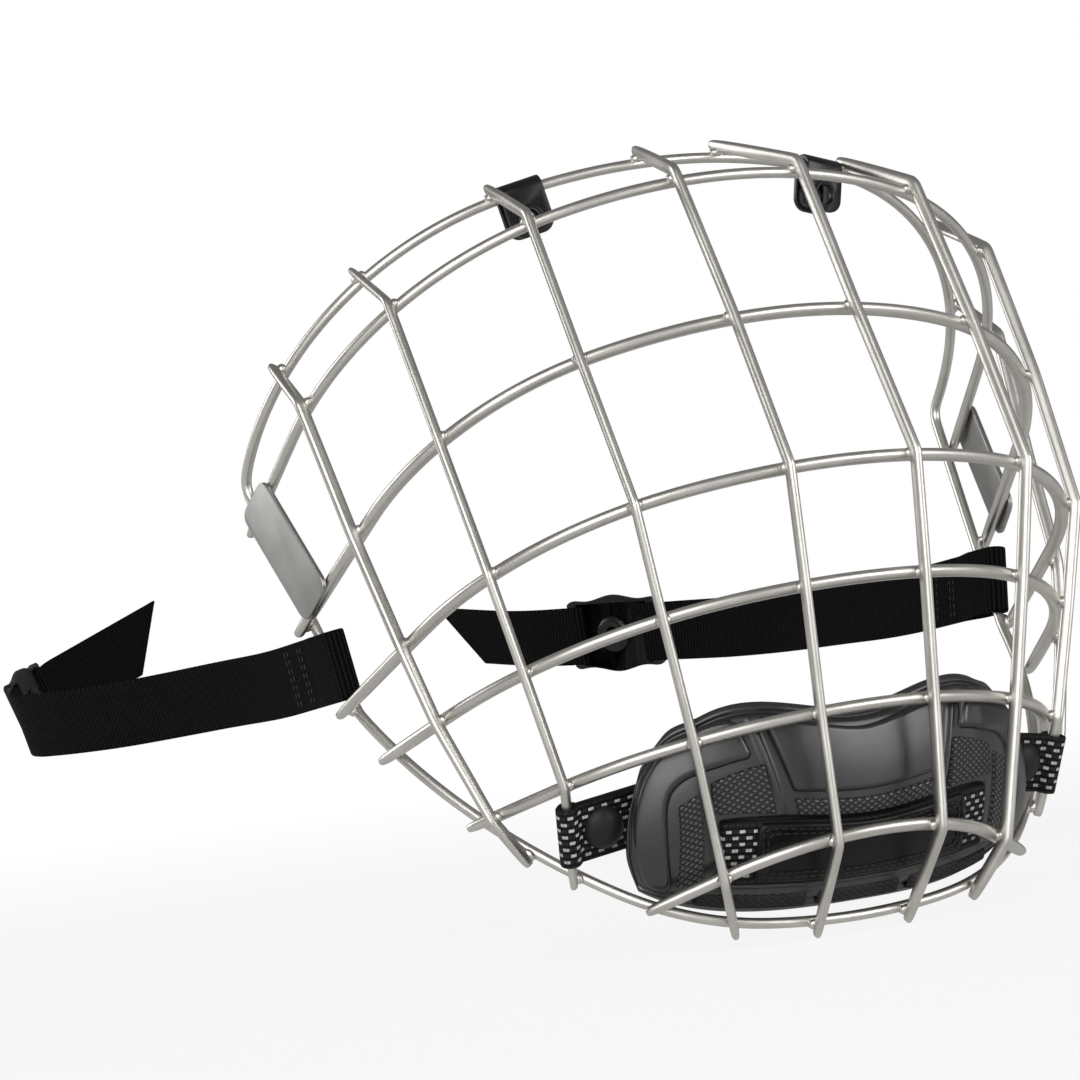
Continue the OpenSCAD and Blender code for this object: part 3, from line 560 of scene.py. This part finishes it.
def round_edges(obj, width, segments, angle, smooth_to):
    """Bevels edges that turn more than angle, and smooths faces that then turn less than smooth_to."""
    edge = obj.modifiers.new("edge", "BEVEL")
    edge.width, edge.segments, edge.limit_method = width, segments, "ANGLE"
    edge.angle_limit = math.radians(angle)
    apply_modifiers(obj)
    bpy.ops.object.shade_smooth_by_angle(angle=math.radians(smooth_to))


def bevelled(node, piece, material, width, segments=3, angle=40):
    obj = merged_copy(node, piece, quads=False)
    round_edges(obj, width, segments, angle, 35)
    stand_in(obj, body_of(node), [node], material)


def make_cover(side):
    """The smooth rubber dome over a tab's snap, a little wider than its solid."""
    node = "snap_cover_" + side
    points = points_of(frame["nodes"][node])
    centre = points.mean(0)
    turns = np.linalg.svd(points - centre, full_matrices=False)[2]
    out = turns[2] * (-1 if turns[2][1] > 0 else 1)
    depth = (points - centre) @ out
    base = centre + out * depth.min()
    radii = (COVER_WIDE, np.ptp(depth) + COVER_RISE, COVER_TALL)
    cover = add_ellipsoids("snap_cover_rubber_" + side,
                           [(Vector(base), Vector(turns[0]), Vector(out), radii)], 24)
    # what lies behind the base is pressed nearly flat
    dome = points_of(cover)
    behind = np.minimum((dome - base) @ out, 0)
    cover.data.vertices.foreach_set("co", (dome - behind[:, None] * out * 0.8).ravel())
    cover.data.update()
    stand_in(cover, "chin", [node], RUBBER)


for side in SIDES:
    bevelled("ear_plate_" + side, "ear_plate_bare_" + side, PLATE, 0.00035)
    bevelled("helmet_clip_" + side, "coated_clip_" + side, COATING, 0.0003)
    bevelled("buckle_" + side, "slide_buckle_" + side, PLASTIC, 0.00045)
    bevelled("snap_" + side, "snap_socket_" + side, SNAP, 0.00015, 2, 50)
    make_cover(side)


def make_eyelet(side, sign):
    """The raised ring round a clip's screw hole."""
    facing = Vector((CLIP_FACING[0] * sign, CLIP_FACING[1], 0))
    eyelet = open_new("clip_eyelet_" + side)
    bpy.ops.mesh.primitive_torus_add(location=Vector((CLIP_HOLE_X * sign, 0, 0)) + facing * HALF_CLIP,
                                     rotation=facing.to_track_quat("Z", "Y").to_euler(),
                                     major_radius=EYELET_RADIUS, minor_radius=EYELET_WIRE,
                                     major_segments=48, minor_segments=10)
    stand_in(close_smooth(eyelet), "clip_" + side, (), COATING)


for side, sign in zip(SIDES, (1, -1)):
    make_eyelet(side, sign)


# Webbing straps, laid along the rings of the CAD straps, in metres
STRAP_SAMPLE = 0.0011
# The sewn end: how much of the strap counts as its own end, the rows' insets, and the thread
OWN_STRETCH, SEWN_INSETS = 0.03, (0.002, 0.0045, 0.0115, 0.014)
SEWN_MARGIN, SEWN_PITCH, SEWN_RADII = 0.003, 0.0024, (0.001, 0.00028, 0.00022)


def strap_rings(node):
    """The strap's rings of four points from one end to the other."""
    shape = bmesh.new()
    shape.from_mesh(frame["nodes"][node].data)
    bmesh.ops.remove_doubles(shape, verts=shape.verts, dist=MERGE_WITHIN)
    shape.verts.ensure_lookup_table()
    near = [set(e.other_vert(v).index for e in v.link_edges) for v in shape.verts]
    places = [v.co.copy() for v in shape.verts]
    shape.free()

    def layers(start):
        seen, rows = set(start), [set(start)]
        while True:
            step = set().union(*(near[i] for i in rows[-1])) - seen
            if not step:
                return rows
            seen |= step
            rows.append(step)

    far = next(iter(layers([0])[-1]))
    around = near[far] | set().union(*(near[i] for i in near[far]))
    for three in itertools.combinations(sorted(around - {far}), 3):
        rows = layers((far,) + three)
        if len(rows) * 4 == len(places) and all(len(r) == 4 for r in rows):
            return [[places[i] for i in sorted(r)] for r in rows]
    raise ValueError("no end ring found in " + node)


def strap_frames(node):
    """Middle, across and outward vectors of each ring, kept the same way round."""
    middles, acrosses, outs = [], [], []
    for ring in strap_rings(node):
        first = ring[0]
        mate = min(ring[1:], key=lambda p: (p - first).length)
        rest = [p for p in ring if p is not first and p is not mate]
        pairs = [[first, mate], rest]
        if acrosses:
            high = middles[-1] + acrosses[-1] / 2
            pairs.sort(key=lambda pair: ((pair[0] + pair[1]) / 2 - high).length)
            for pair in pairs:
                if (pair[0] - pair[1]).dot(outs[-1]) < 0:
                    pair.reverse()
        elif (pairs[0][0] - pairs[0][1]).dot(pairs[1][0] - pairs[1][1]) < 0:
            pairs[1].reverse()
        high, low = [(pair[0] + pair[1]) / 2 for pair in pairs]
        middles.append((high + low) / 2)
        acrosses.append(high - low)
        outs.append(((pairs[0][0] - pairs[0][1]) + (pairs[1][0] - pairs[1][1])) / 2)
    return [np.array(v) for v in (middles, acrosses, outs)]


def refine(middles, acrosses, outs, step):
    """A smooth line through the rings with a sample every step."""
    hops = np.diff(middles, axis=0)
    length = np.linalg.norm(hops, axis=1)
    tangent = np.vstack([hops[:1], hops[:-1] + hops[1:], hops[-1:]])
    tangent /= np.linalg.norm(tangent, axis=1)[:, None]

    def blend(values, i, u):
        return values[i] * (1 - u) + values[i + 1] * u

    rows = []
    travelled = 0.0
    for i, run in enumerate(length):
        n = max(1, int(round(run / step)))
        for k in range(n + (i == len(length) - 1)):
            u = k / n
            a, b, c, d = 2*u**3 - 3*u**2 + 1, u**3 - 2*u**2 + u, -2*u**3 + 3*u**2, u**3 - u**2
            place = a * middles[i] + b * run * tangent[i] + c * middles[i + 1] + d * run * tangent[i + 1]
            along = blend(tangent, i, u)
            rows.append((place, blend(acrosses, i, u), blend(outs, i, u),
                         along / np.linalg.norm(along), travelled + run * u))
        travelled += run
    return rows


def band_outline(flats, rounds):
    """Points round a flat band: shares across and outward from -0.5 to 0.5, and the bulge of its edges."""
    half = [(0.5 - i / flats, 0.5, 0) for i in range(flats + 1)]
    turns = [math.pi * k / rounds for k in range(1, rounds)]
    half += [(-0.5, 0.5 * math.cos(t), -math.sin(t)) for t in turns]
    return half + [(-x, -y, -z) for x, y, z in half]


def sweep_band(name, rows, flats=18, rounds=4):
    outline = band_outline(flats, rounds)
    m, n = len(outline), len(rows)
    points, lie = [], []
    for place, across, out, along, travelled in rows:
        width = np.linalg.norm(across)
        thick = np.linalg.norm(out)
        inner = 1 - thick / width
        side = across / width
        for x, y, bulge in outline:
            offset = across * x * inner + out * y + side * bulge * thick / 2
            points.append(place + offset)
            lie.append((x * width / MM, (travelled + float(np.dot(across * x, along))) / MM))
    faces = [(i * m + j, i * m + (j + 1) % m, (i + 1) * m + (j + 1) % m, (i + 1) * m + j)
             for i in range(n - 1) for j in range(m)]
    faces += [tuple(range(m - 1, -1, -1)), tuple(range((n - 1) * m, n * m))]
    return piece_from(name, points, faces, lie)


def piece_from(name, points, faces, lie=None):
    mesh = bpy.data.meshes.new(name)
    mesh.from_pydata([tuple(p) for p in points], [], faces)
    if lie is not None:
        layer = mesh.uv_layers.new(name="lie")
        picked = np.array(lie)[[loop.vertex_index for loop in mesh.loops]]
        layer.data.foreach_set("uv", picked.ravel())
    shape = bmesh.new()
    shape.from_mesh(mesh)
    bmesh.ops.recalc_face_normals(shape, faces=shape.faces)
    for face in shape.faces:
        face.smooth = len(face.verts) < 8
    shape.to_mesh(mesh)
    shape.free()
    mesh.validate()
    return link_new(name, mesh)


def make_strap(side):
    """Sweeps a strap's webbing, and returns its rows for the thread."""
    node = "side_strap_" + side
    rows = refine(*strap_frames(node), STRAP_SAMPLE)
    strap = sweep_band("webbing_strap_" + side, rows)
    stand_in(strap, body_of(node), [node], WEBBING)
    return rows


def sewn_rows(side, rows):
    """Thread across the sewn end of the loop, on both outer faces."""
    places = np.array([r[0] for r in rows])
    travelled = np.array([r[4] for r in rows])
    # the sewn end is the one that lies on another part of the same strap
    from_start = np.linalg.norm(places - places[0], axis=1) + (travelled < OWN_STRETCH)
    from_end = np.linalg.norm(places - places[-1], axis=1) + (travelled > travelled[-1] - OWN_STRETCH)
    if from_start.min() < from_end.min():
        end, mate, sign = 0, int(from_start.argmin()), 1
    else:
        end, mate, sign = len(rows) - 1, int(from_end.argmin()), -1
    items = []
    for inset in SEWN_INSETS:
        for at, other in ((travelled[end] + sign * inset, mate), (travelled[mate] - sign * inset, end)):
            place, across, out = rows[int(np.abs(travelled - at).argmin())][:3]
            away = np.sign(np.dot(out, place - rows[other][0])) or 1.0
            sideways = across / np.linalg.norm(across)
            surface = place + out * away * 0.5
            width = np.linalg.norm(across) - SEWN_MARGIN
            count = int(width / SEWN_PITCH)
            for k in range(count):
                spot = surface + sideways * (width * ((k + 0.5) / count - 0.5))
                items.append((Vector(spot), Vector(sideways), Vector(out * away), SEWN_RADII))
    thread = add_ellipsoids("strap_stitches_" + side, items, 4)
    stand_in(thread, "strap_" + side, (), THREAD)


for side in SIDES:
    sewn_rows(side, make_strap(side))


# Chin cup: the same curved surface as in the CAD, in millimetres, degrees and shares of its height
HOLE_MID = np.array([0, 79.1246, 90.1988])
CUP_HALF_WIDTH, CUP_WRAP, CUP_FRONT, CUP_LEAN = 68, 36, 10.5, 16
CUP_LOW, CUP_HIGH, CUP_END, CUP_CORNER = -110, -55, 72, 0.3
SHELL_THICK = 4
CUP_HALF_RUN, CUP_HALF_HEIGHT = 85, 26
SHOULDER_FROM, SHOULDER_RUN, SHOULDER_RISE = 42, 16, 0.06
LINE_POINTS, FIELD_STEP = 240, 0.5


def cup_skin(a, h):
    turn = np.radians(a)
    s = np.abs(np.sin(turn))
    k = 1 - CUP_CORNER * (np.abs(a) / CUP_END) ** 6
    top = CUP_HIGH + 62 * s ** 2 - 84 * s ** 3
    bottom = CUP_LOW + 12 * s ** 3
    x = CUP_HALF_WIDTH * np.sin(turn)
    y = CUP_FRONT + CUP_WRAP * (1 - np.cos(turn)) + CUP_LEAN * (1 - h) ** 3 * (1 - 0.8 * s ** 6) + 2 * h ** 4
    z = (top + bottom) / 2 + (2 * h - 1) * (top - bottom) / 2 * k
    return np.stack([x, y, z], -1)


def cup_normal(a, h):
    across = cup_skin(a + 0.5, h) - cup_skin(a - 0.5, h)
    up = cup_skin(a, h + 0.01) - cup_skin(a, h - 0.01)
    normal = np.cross(across, up)
    return normal / np.linalg.norm(normal, axis=-1)[..., None]


def cup_point(a, h, depth):
    return (cup_skin(a, h) + cup_normal(a, h) * np.asarray(depth)[..., None] - HOLE_MID) * MM


def slab(name, outer, inner, lie):
    """Closed piece between two grids of points."""
    nu, nv = outer.shape[:2]
    points = np.vstack([outer.reshape(-1, 3), inner.reshape(-1, 3)])
    lies = np.vstack([lie.reshape(-1, 2)] * 2)
    half = nu * nv
    faces = []
    for i in range(nu - 1):
        for j in range(nv - 1):
            a, b = i * nv + j, (i + 1) * nv + j
            faces.append((a, b, b + 1, a + 1))
            faces.append((half + a, half + a + 1, half + b + 1, half + b))
    rim = [i * nv for i in range(nu - 1)] + [(nu - 1) * nv + j for j in range(nv - 1)]
    rim += [i * nv + nv - 1 for i in range(nu - 1, 0, -1)] + [j for j in range(nv - 1, 0, -1)]
    for a, b in zip(rim, rim[1:] + rim[:1]):
        faces.append((a, half + a, half + b, b))
    return piece_from(name, points, faces, lies)


def run_of(line):
    """The distance along a line to each of its points."""
    return np.concatenate([[0], np.cumsum(np.linalg.norm(np.diff(line, axis=0), axis=1))])


def cup_line(points, count):
    """A line on the cup through a few points of angle and height share, evenly spaced and softened."""
    points = np.array(points, float)
    run = run_of(cup_skin(points[:, 0], points[:, 1]))
    at = np.linspace(0, run[-1], count)
    line = np.stack([np.interp(at, run, points[:, 0]), np.interp(at, run, points[:, 1])], -1)
    if len(points) > 2:
        for _ in range(count // 3):
            line[1:-1] = (line[:-2] + 2 * line[1:-1] + line[2:]) / 4
    return line


def held(x):
    return np.clip(x, 0, 1)


def field_form(low, high):
    """How a field lies between two lines: the map from its shares to the cup, its width, the shares at
    which its height was measured, and those heights."""
    low, high = cup_line(low, LINE_POINTS), cup_line(high, LINE_POINTS)
    last = LINE_POINTS - 1

    def on_cup(u, v):
        at = held(u) * last
        k = np.minimum(at.astype(int), last - 1)
        w = (at - k)[..., None]
        line = (low[k] * (1 - w) + low[k + 1] * w) * (1 - v)[..., None]
        line = line + (high[k] * (1 - w) + high[k + 1] * w) * v[..., None]
        return line[..., 0], line[..., 1]

    share = np.linspace(0, 1, 60)
    middle = cup_skin(*on_cup(share, share * 0 + 0.5))
    wide = np.linalg.norm(np.diff(middle, axis=0), axis=1).sum()
    line_u, line_v = np.meshgrid(share, np.linspace(0, 1, 12), indexing="ij")
    tall = np.linalg.norm(np.diff(cup_skin(*on_cup(line_u, line_v)), axis=1), axis=2).sum(1)
    return on_cup, wide, share, tall


def cup_field(name, low, high, height, edge, corner, floor=-0.45, dish=0.0):
    """A raised field on the cup between a low and a high line, with round edges."""
    on_cup, wide, share, tall = field_form(low, high)
    columns, rows = max(8, int(wide / FIELD_STEP)), max(6, int(tall.max() / FIELD_STEP))
    u, v = np.meshgrid(np.linspace(0, 1, columns), np.linspace(0, 1, rows), indexing="ij")
    local = np.interp(u, share, tall)
    x, y = (u - 0.5) * wide, (v - 0.5) * local
    qx, qy = np.abs(x) - wide / 2 + corner, np.abs(y) - local / 2 + corner
    inside = corner - np.hypot(np.maximum(qx, 0), np.maximum(qy, 0)) - np.minimum(np.maximum(qx, qy), 0)
    rise = np.sqrt(1 - (1 - held(inside / edge)) ** 2)
    depth = floor + (height - floor) * rise - dish * held((inside - edge * 1.6) / edge)
    a, h = on_cup(u, v)
    back = np.full_like(a, floor - 0.3)
    return slab(name, cup_point(a, h, depth), cup_point(a, h, back), np.stack([x, y], -1))


def mirrored(line):
    return [(-a, h) for a, h in reversed(line)]


def rim_shape(u, v):
    """The cup's outline: a higher shoulder near each end, and round ends."""
    climb = held((CUP_END * np.abs(u) - SHOULDER_FROM) / SHOULDER_RUN)
    h = v * (1 + SHOULDER_RISE * climb ** 2 * (3 - 2 * climb))
    return CUP_END * u * (1 - 0.115 * np.abs(2 * h - 1.04) ** 2.7 * np.abs(u) ** 2), h


def make_shell():
    u, v = np.meshgrid(np.linspace(-1, 1, 321), np.linspace(-1, 1, 129), indexing="ij")
    a, h = rim_shape(u, (v + 1) / 2)
    e = np.maximum(np.abs(u) ** 16, np.abs(v) ** 12)
    to_edge = np.minimum((1 - np.abs(u)) * CUP_HALF_RUN, (1 - np.abs(v)) * CUP_HALF_HEIGHT)
    # the edge rolls back, with a groove along the rim
    outer = -e * SHELL_THICK * 0.4 - 1.1 * np.exp(-((to_edge - 2.6) / 0.55) ** 2)
    # a ridge in the channel on each side of the centre
    channel = np.abs(a) - (22.2 + 15 * held(h - 0.5))
    outer += 0.9 * np.exp(-(channel / 0.8) ** 2) * held((h - 0.46) * 12) * held((0.93 - h) * 12)
    # the recess that holds the band, and its lower lip
    outer -= 0.6 * held((39.5 - np.abs(a)) / 1.5) * held((0.47 - h) * 60) * held((h - 0.135) * 60)
    outer -= 0.6 * np.exp(-((h - 0.118) * 55 / 0.5) ** 2) * held((44 - np.abs(a)) / 3)
    inner = -SHELL_THICK + e * SHELL_THICK * 0.15
    shell = slab("cup_moulding", cup_point(a, h, outer), cup_point(a, h, inner), np.stack([a, h * 50], -1))
    stand_in(shell, "chin", ["chin_shell"], FOAM)


def make_liner():
    liner = merged_copy("chin_liner", "cup_lining_pad")
    soft = liner.modifiers.new("soft", "SUBSURF")
    soft.levels = soft.render_levels = 2
    apply_modifiers(liner)
    stand_in(liner, "chin", ["chin_liner"], LINING)


# The low and the high line of each field, in degrees round the cup and shares of its height
WING = ([(28.5, 0.735), (38.6, 0.715), (48.5, 0.72), (52.5, 0.69),
         (54.2, 0.6), (54.2, 0.45), (53.4, 0.3), (51, 0.1)],
        [(32, 0.93), (44, 0.955), (55, 0.975), (61, 0.93), (65.5, 0.8),
         (67.3, 0.6), (66.8, 0.4), (64, 0.2), (60, 0.08)])
SIDE_GRIP = [(23.5, 0.472), (41, 0.492)], [(26, 0.712), (41, 0.66)]
END_GRIP = [(42, 0.15), (50, 0.11)], [(43.5, 0.63), (51, 0.60)]
LIPS = (("left", [(14, 0.03), (44, 0.035)], [(14, 0.1), (43, 0.1)]),
        ("right", [(-44, 0.035), (-14, 0.03)], [(-43, 0.1), (-14, 0.1)]),
        ("middle", [(-11, 0.03), (11, 0.03)], [(-11, 0.1), (11, 0.1)]))
BAND = [(-38.5, 0.145), (38.5, 0.145)], [(-38.5, 0.455), (38.5, 0.455)]
PATCH_AREA = [(-29, 0.165), (29, 0.165)], [(-29, 0.44), (29, 0.44)]
# The patch's two rows of stitches, in millimetres
PATCH_INSETS, PATCH_PITCH, PATCH_CORNER, PATCH_TOP = (1.7, 3.1), 2.4, 2.0, 1.95


def add_field(name, slot, nodes, material, low, high, height, edge, corner, **more):
    """A field of the cup with its height, and the radii of its edges and its corners."""
    field = cup_field(name, low, high, height, edge, corner, **more)
    stand_in(field, "chin", nodes, material)


def make_fields():
    add_field("cup_centre_field", "chin_foam", ["chin_panel_centre"], FOAM,
              [(-19.5, 0.575), (0, 0.58), (19.5, 0.575)], [(-26, 0.93), (0, 0.90), (26, 0.93)], 1.9, 1.6, 1.6)
    add_field("cup_centre_grip", "grip_rubber", ["chin_grip_centre"], GRIP,
              [(-18.5, 0.465), (18.5, 0.465)], [(-19.5, 0.55), (19.5, 0.55)], 1.1, 0.7, 0.8)
    for side in SIDES:
        turned = mirrored if side == "right" else list
        add_field("cup_wing_" + side, "chin_foam", ["chin_wing_" + side, "chin_end_panel_" + side], FOAM,
                  *map(turned, WING), 1.9, 1.9, 2.6)
        add_field("cup_side_grip_" + side, "grip_rubber", ["chin_grip_" + side], GRIP,
                  *map(turned, SIDE_GRIP), 1.1, 0.8, 1.0)
        add_field("cup_end_grip_" + side, "grip_rubber", (), GRIP, *map(turned, END_GRIP), 0.7, 0.9, 1.4)
    for side, low, high in LIPS:
        add_field("cup_lip_" + side, "grip_rubber", (), LIP, low, high, 0.6, 0.6, 1.0)


def round_cornered(half_w, half_t, corner):
    """A closed line round a rectangle with round corners."""
    line = []
    for cx, cy, start in ((half_w - corner, half_t - corner, 0), (corner - half_w, half_t - corner, 90),
                          (corner - half_w, corner - half_t, 180), (half_w - corner, corner - half_t, 270)):
        for k in range(7):
            t = math.radians(start + 15 * k)
            line.append((cx + corner * math.cos(t), cy + corner * math.sin(t)))
    return np.array(line + line[:1])


def sew_patch():
    on_cup, wide, _, heights = field_form(*PATCH_AREA)
    tall = heights.max()
    items = []
    for inset in PATCH_INSETS:
        line = round_cornered(wide / 2 - inset, tall / 2 - inset, PATCH_CORNER)
        run = run_of(line)
        count = int(run[-1] / PATCH_PITCH)
        for k in range(count):
            at = run[-1] * np.array([k, k + 0.62]) / count
            x, y = np.interp(at, run, line[:, 0]), np.interp(at, run, line[:, 1])
            a, h = on_cup(x / wide + 0.5, y / tall + 0.5)
            p, q = cup_point(a, h, np.full(2, PATCH_TOP))
            normal = Vector(cup_normal(a[:1], h[:1])[0])
            along = Vector(q - p)
            items.append((Vector((p + q) / 2), along, normal, (along.length / 2 + 0.0003, 0.00032, 0.00028)))
    thread = add_ellipsoids("patch_stitches", items, 4)
    stand_in(thread, "chin", (), THREAD)


make_shell()
make_liner()
make_fields()
add_field("cup_webbing", "chin_webbing", ["chin_band"], FLECKED, *BAND, 0.9, 0.6, 0.3)
add_field("bare_patch", "patch", ["chin_patch"], PATCH, *PATCH_AREA, 2.1, 0.9, 3.0, floor=0.6, dish=0.35)
sew_patch()


# Webbing tabs, with the lie of the webbing taken round their outline
def middle_of(edge):
    return (edge.verts[0].co + edge.verts[1].co) / 2


def long_way(shape):
    """The upward direction of the longest edge between two four-sided faces."""
    longest = max(shape.edges, key=lambda e: e.calc_length() if len(e.link_faces) == 2 and all(
        len(f.verts) == 4 for f in e.link_faces) else 0)
    up = (longest.verts[1].co - longest.verts[0].co).normalized()
    return -up if up.z < 0 else up


def lay_round(shape, up):
    """Gives the side faces their lie: the length walked round them, and the height along up."""
    lies = shape.loops.layers.uv.new("lie")
    centre = sum((v.co for v in shape.verts), Vector()) / len(shape.verts)
    done = set()
    for first in shape.faces:
        if first in done or abs(first.normal.dot(up)) > 0.5:
            continue
        face, at, enter = first, 0.0, None
        while face is not None and face not in done:
            done.add(face)
            ends = [e for e in face.edges if abs((e.verts[1].co - e.verts[0].co).normalized().dot(up)) > 0.9]
            if len(ends) < 2:
                break
            enter = enter if enter in ends else ends[0]
            leave = max(ends, key=lambda e: (middle_of(e) - middle_of(enter)).length)
            step = middle_of(leave) - middle_of(enter)
            width = (step - up * step.dot(up)).length
            for loop in face.loops:
                along = at + (width if loop.vert in leave.verts else 0)
                loop[lies].uv = (along / MM, (loop.vert.co - centre).dot(up) / MM)
            at += width
            enter = leave
            face = next((f for f in leave.link_faces if f not in done), None)


def make_tab(side):
    node = "chin_tab_" + side
    tab = merged_copy(node, "flecked_tab_" + side, quads=False)
    shape = bmesh.new()
    shape.from_mesh(tab.data)
    lay_round(shape, long_way(shape))
    shape.to_mesh(tab.data)
    shape.free()
    round_edges(tab, 0.0004, 2, 60, 40)
    stand_in(tab, "chin", [node], FLECKED)


for side in SIDES:
    make_tab(side)


# Stage and light: the backdrop is white to the camera and gives little light of its own
BACKDROP_LIGHT, BACKDROP_IN_MIRRORS, FLOOR_IN_MIRRORS = 0.09, 0.2, 0.3
# The floor's white share near the mask and far from it, and the distances between which it grows
FLOOR_NEAR, FLOOR_FAR, FLOOR_FROM, FLOOR_TO = 0.88, 1.0, 0.35, 0.9
# Each lamp's place, size and power, all aimed at the middle of the cage
LAMPS = (("key", (-1.25, -1.5, 0.55), 1.7, 30), ("fill", (1.2, -1.7, 0.35), 1.3, 19),
         ("rim", (-1.2, 1.2, 0.5), 0.8, 8), ("low", (-0.2, -1.3, -0.7), 0.8, 4))
LAMPS_AIM = Vector((0, 0, -0.1))


def join(tree, kind, a, b):
    """A Math node on two sockets, or on a socket and a number."""
    made = tree.nodes.new("ShaderNodeMath")
    made.operation = kind
    for socket, value in zip(made.inputs, (a, b)):
        if isinstance(value, float):
            socket.default_value = value
        else:
            tree.links.new(value, socket)
    return made.outputs[0]


def ray_share(tree, in_mirrors):
    """How much of the white backdrop a ray sees: all of it straight on, and a part by reflection."""
    rays = tree.nodes.new("ShaderNodeLightPath").outputs
    seen = join(tree, "MAXIMUM", rays["Is Camera Ray"], rays["Is Transmission Ray"])
    return join(tree, "MAXIMUM", seen, join(tree, "MULTIPLY", rays["Is Glossy Ray"], in_mirrors))


def make_floor(low):
    """Pale floor that keeps a soft shadow near the mask and runs out to white."""
    bpy.ops.mesh.primitive_plane_add(size=8, location=(0, 0, low - 0.001))
    floor = bpy.context.object
    floor.name = "studio_floor"
    paint = Paint("pale_floor", Roughness=0.8, Base_Color=rgb(0.8, 0.8, 0.8))
    away = paint.node("ShaderNodeVectorMath", {"operation": "LENGTH"}, paint.place())["Value"]
    tree = paint.tree
    white_share = paint.curve(away, FLOOR_FROM, FLOOR_TO, FLOOR_NEAR, FLOOR_FAR).socket
    share = join(tree, "MULTIPLY", ray_share(tree, FLOOR_IN_MIRRORS), white_share)
    white = tree.nodes.new("ShaderNodeEmission")
    mixed = tree.nodes.new("ShaderNodeMixShader")
    result = next(n for n in tree.nodes if n.type == "OUTPUT_MATERIAL")
    tree.links.new(share, mixed.inputs[0])
    tree.links.new(paint.shader.outputs[0], mixed.inputs[1])
    tree.links.new(white.outputs[0], mixed.inputs[2])
    tree.links.new(mixed.outputs[0], result.inputs["Surface"])
    repaint(floor, paint.material)


def stage_and_light():
    make_floor(cad_box[0].z)
    world = bpy.data.worlds.new("studio")
    bpy.context.scene.world = world
    world.use_nodes = True
    tree = world.node_tree
    back = next(n for n in tree.nodes if n.type == "BACKGROUND")
    back.inputs["Color"].default_value = (1, 1, 1, 1)
    share = ray_share(tree, BACKDROP_IN_MIRRORS)
    tree.links.new(join(tree, "MAXIMUM", share, BACKDROP_LIGHT), back.inputs["Strength"])
    for name, place, size, power in LAMPS:
        data = bpy.data.lights.new(name, "AREA")
        data.size, data.energy = size, power
        lamp = bpy.data.objects.new(name, data)
        lamp.location = place
        aim = LAMPS_AIM - Vector(place)
        lamp.rotation_euler = aim.to_track_quat("-Z", "Y").to_euler()
        bpy.context.scene.collection.objects.link(lamp)


stage_and_light()
bpy.context.scene.view_settings.view_transform = "Standard"
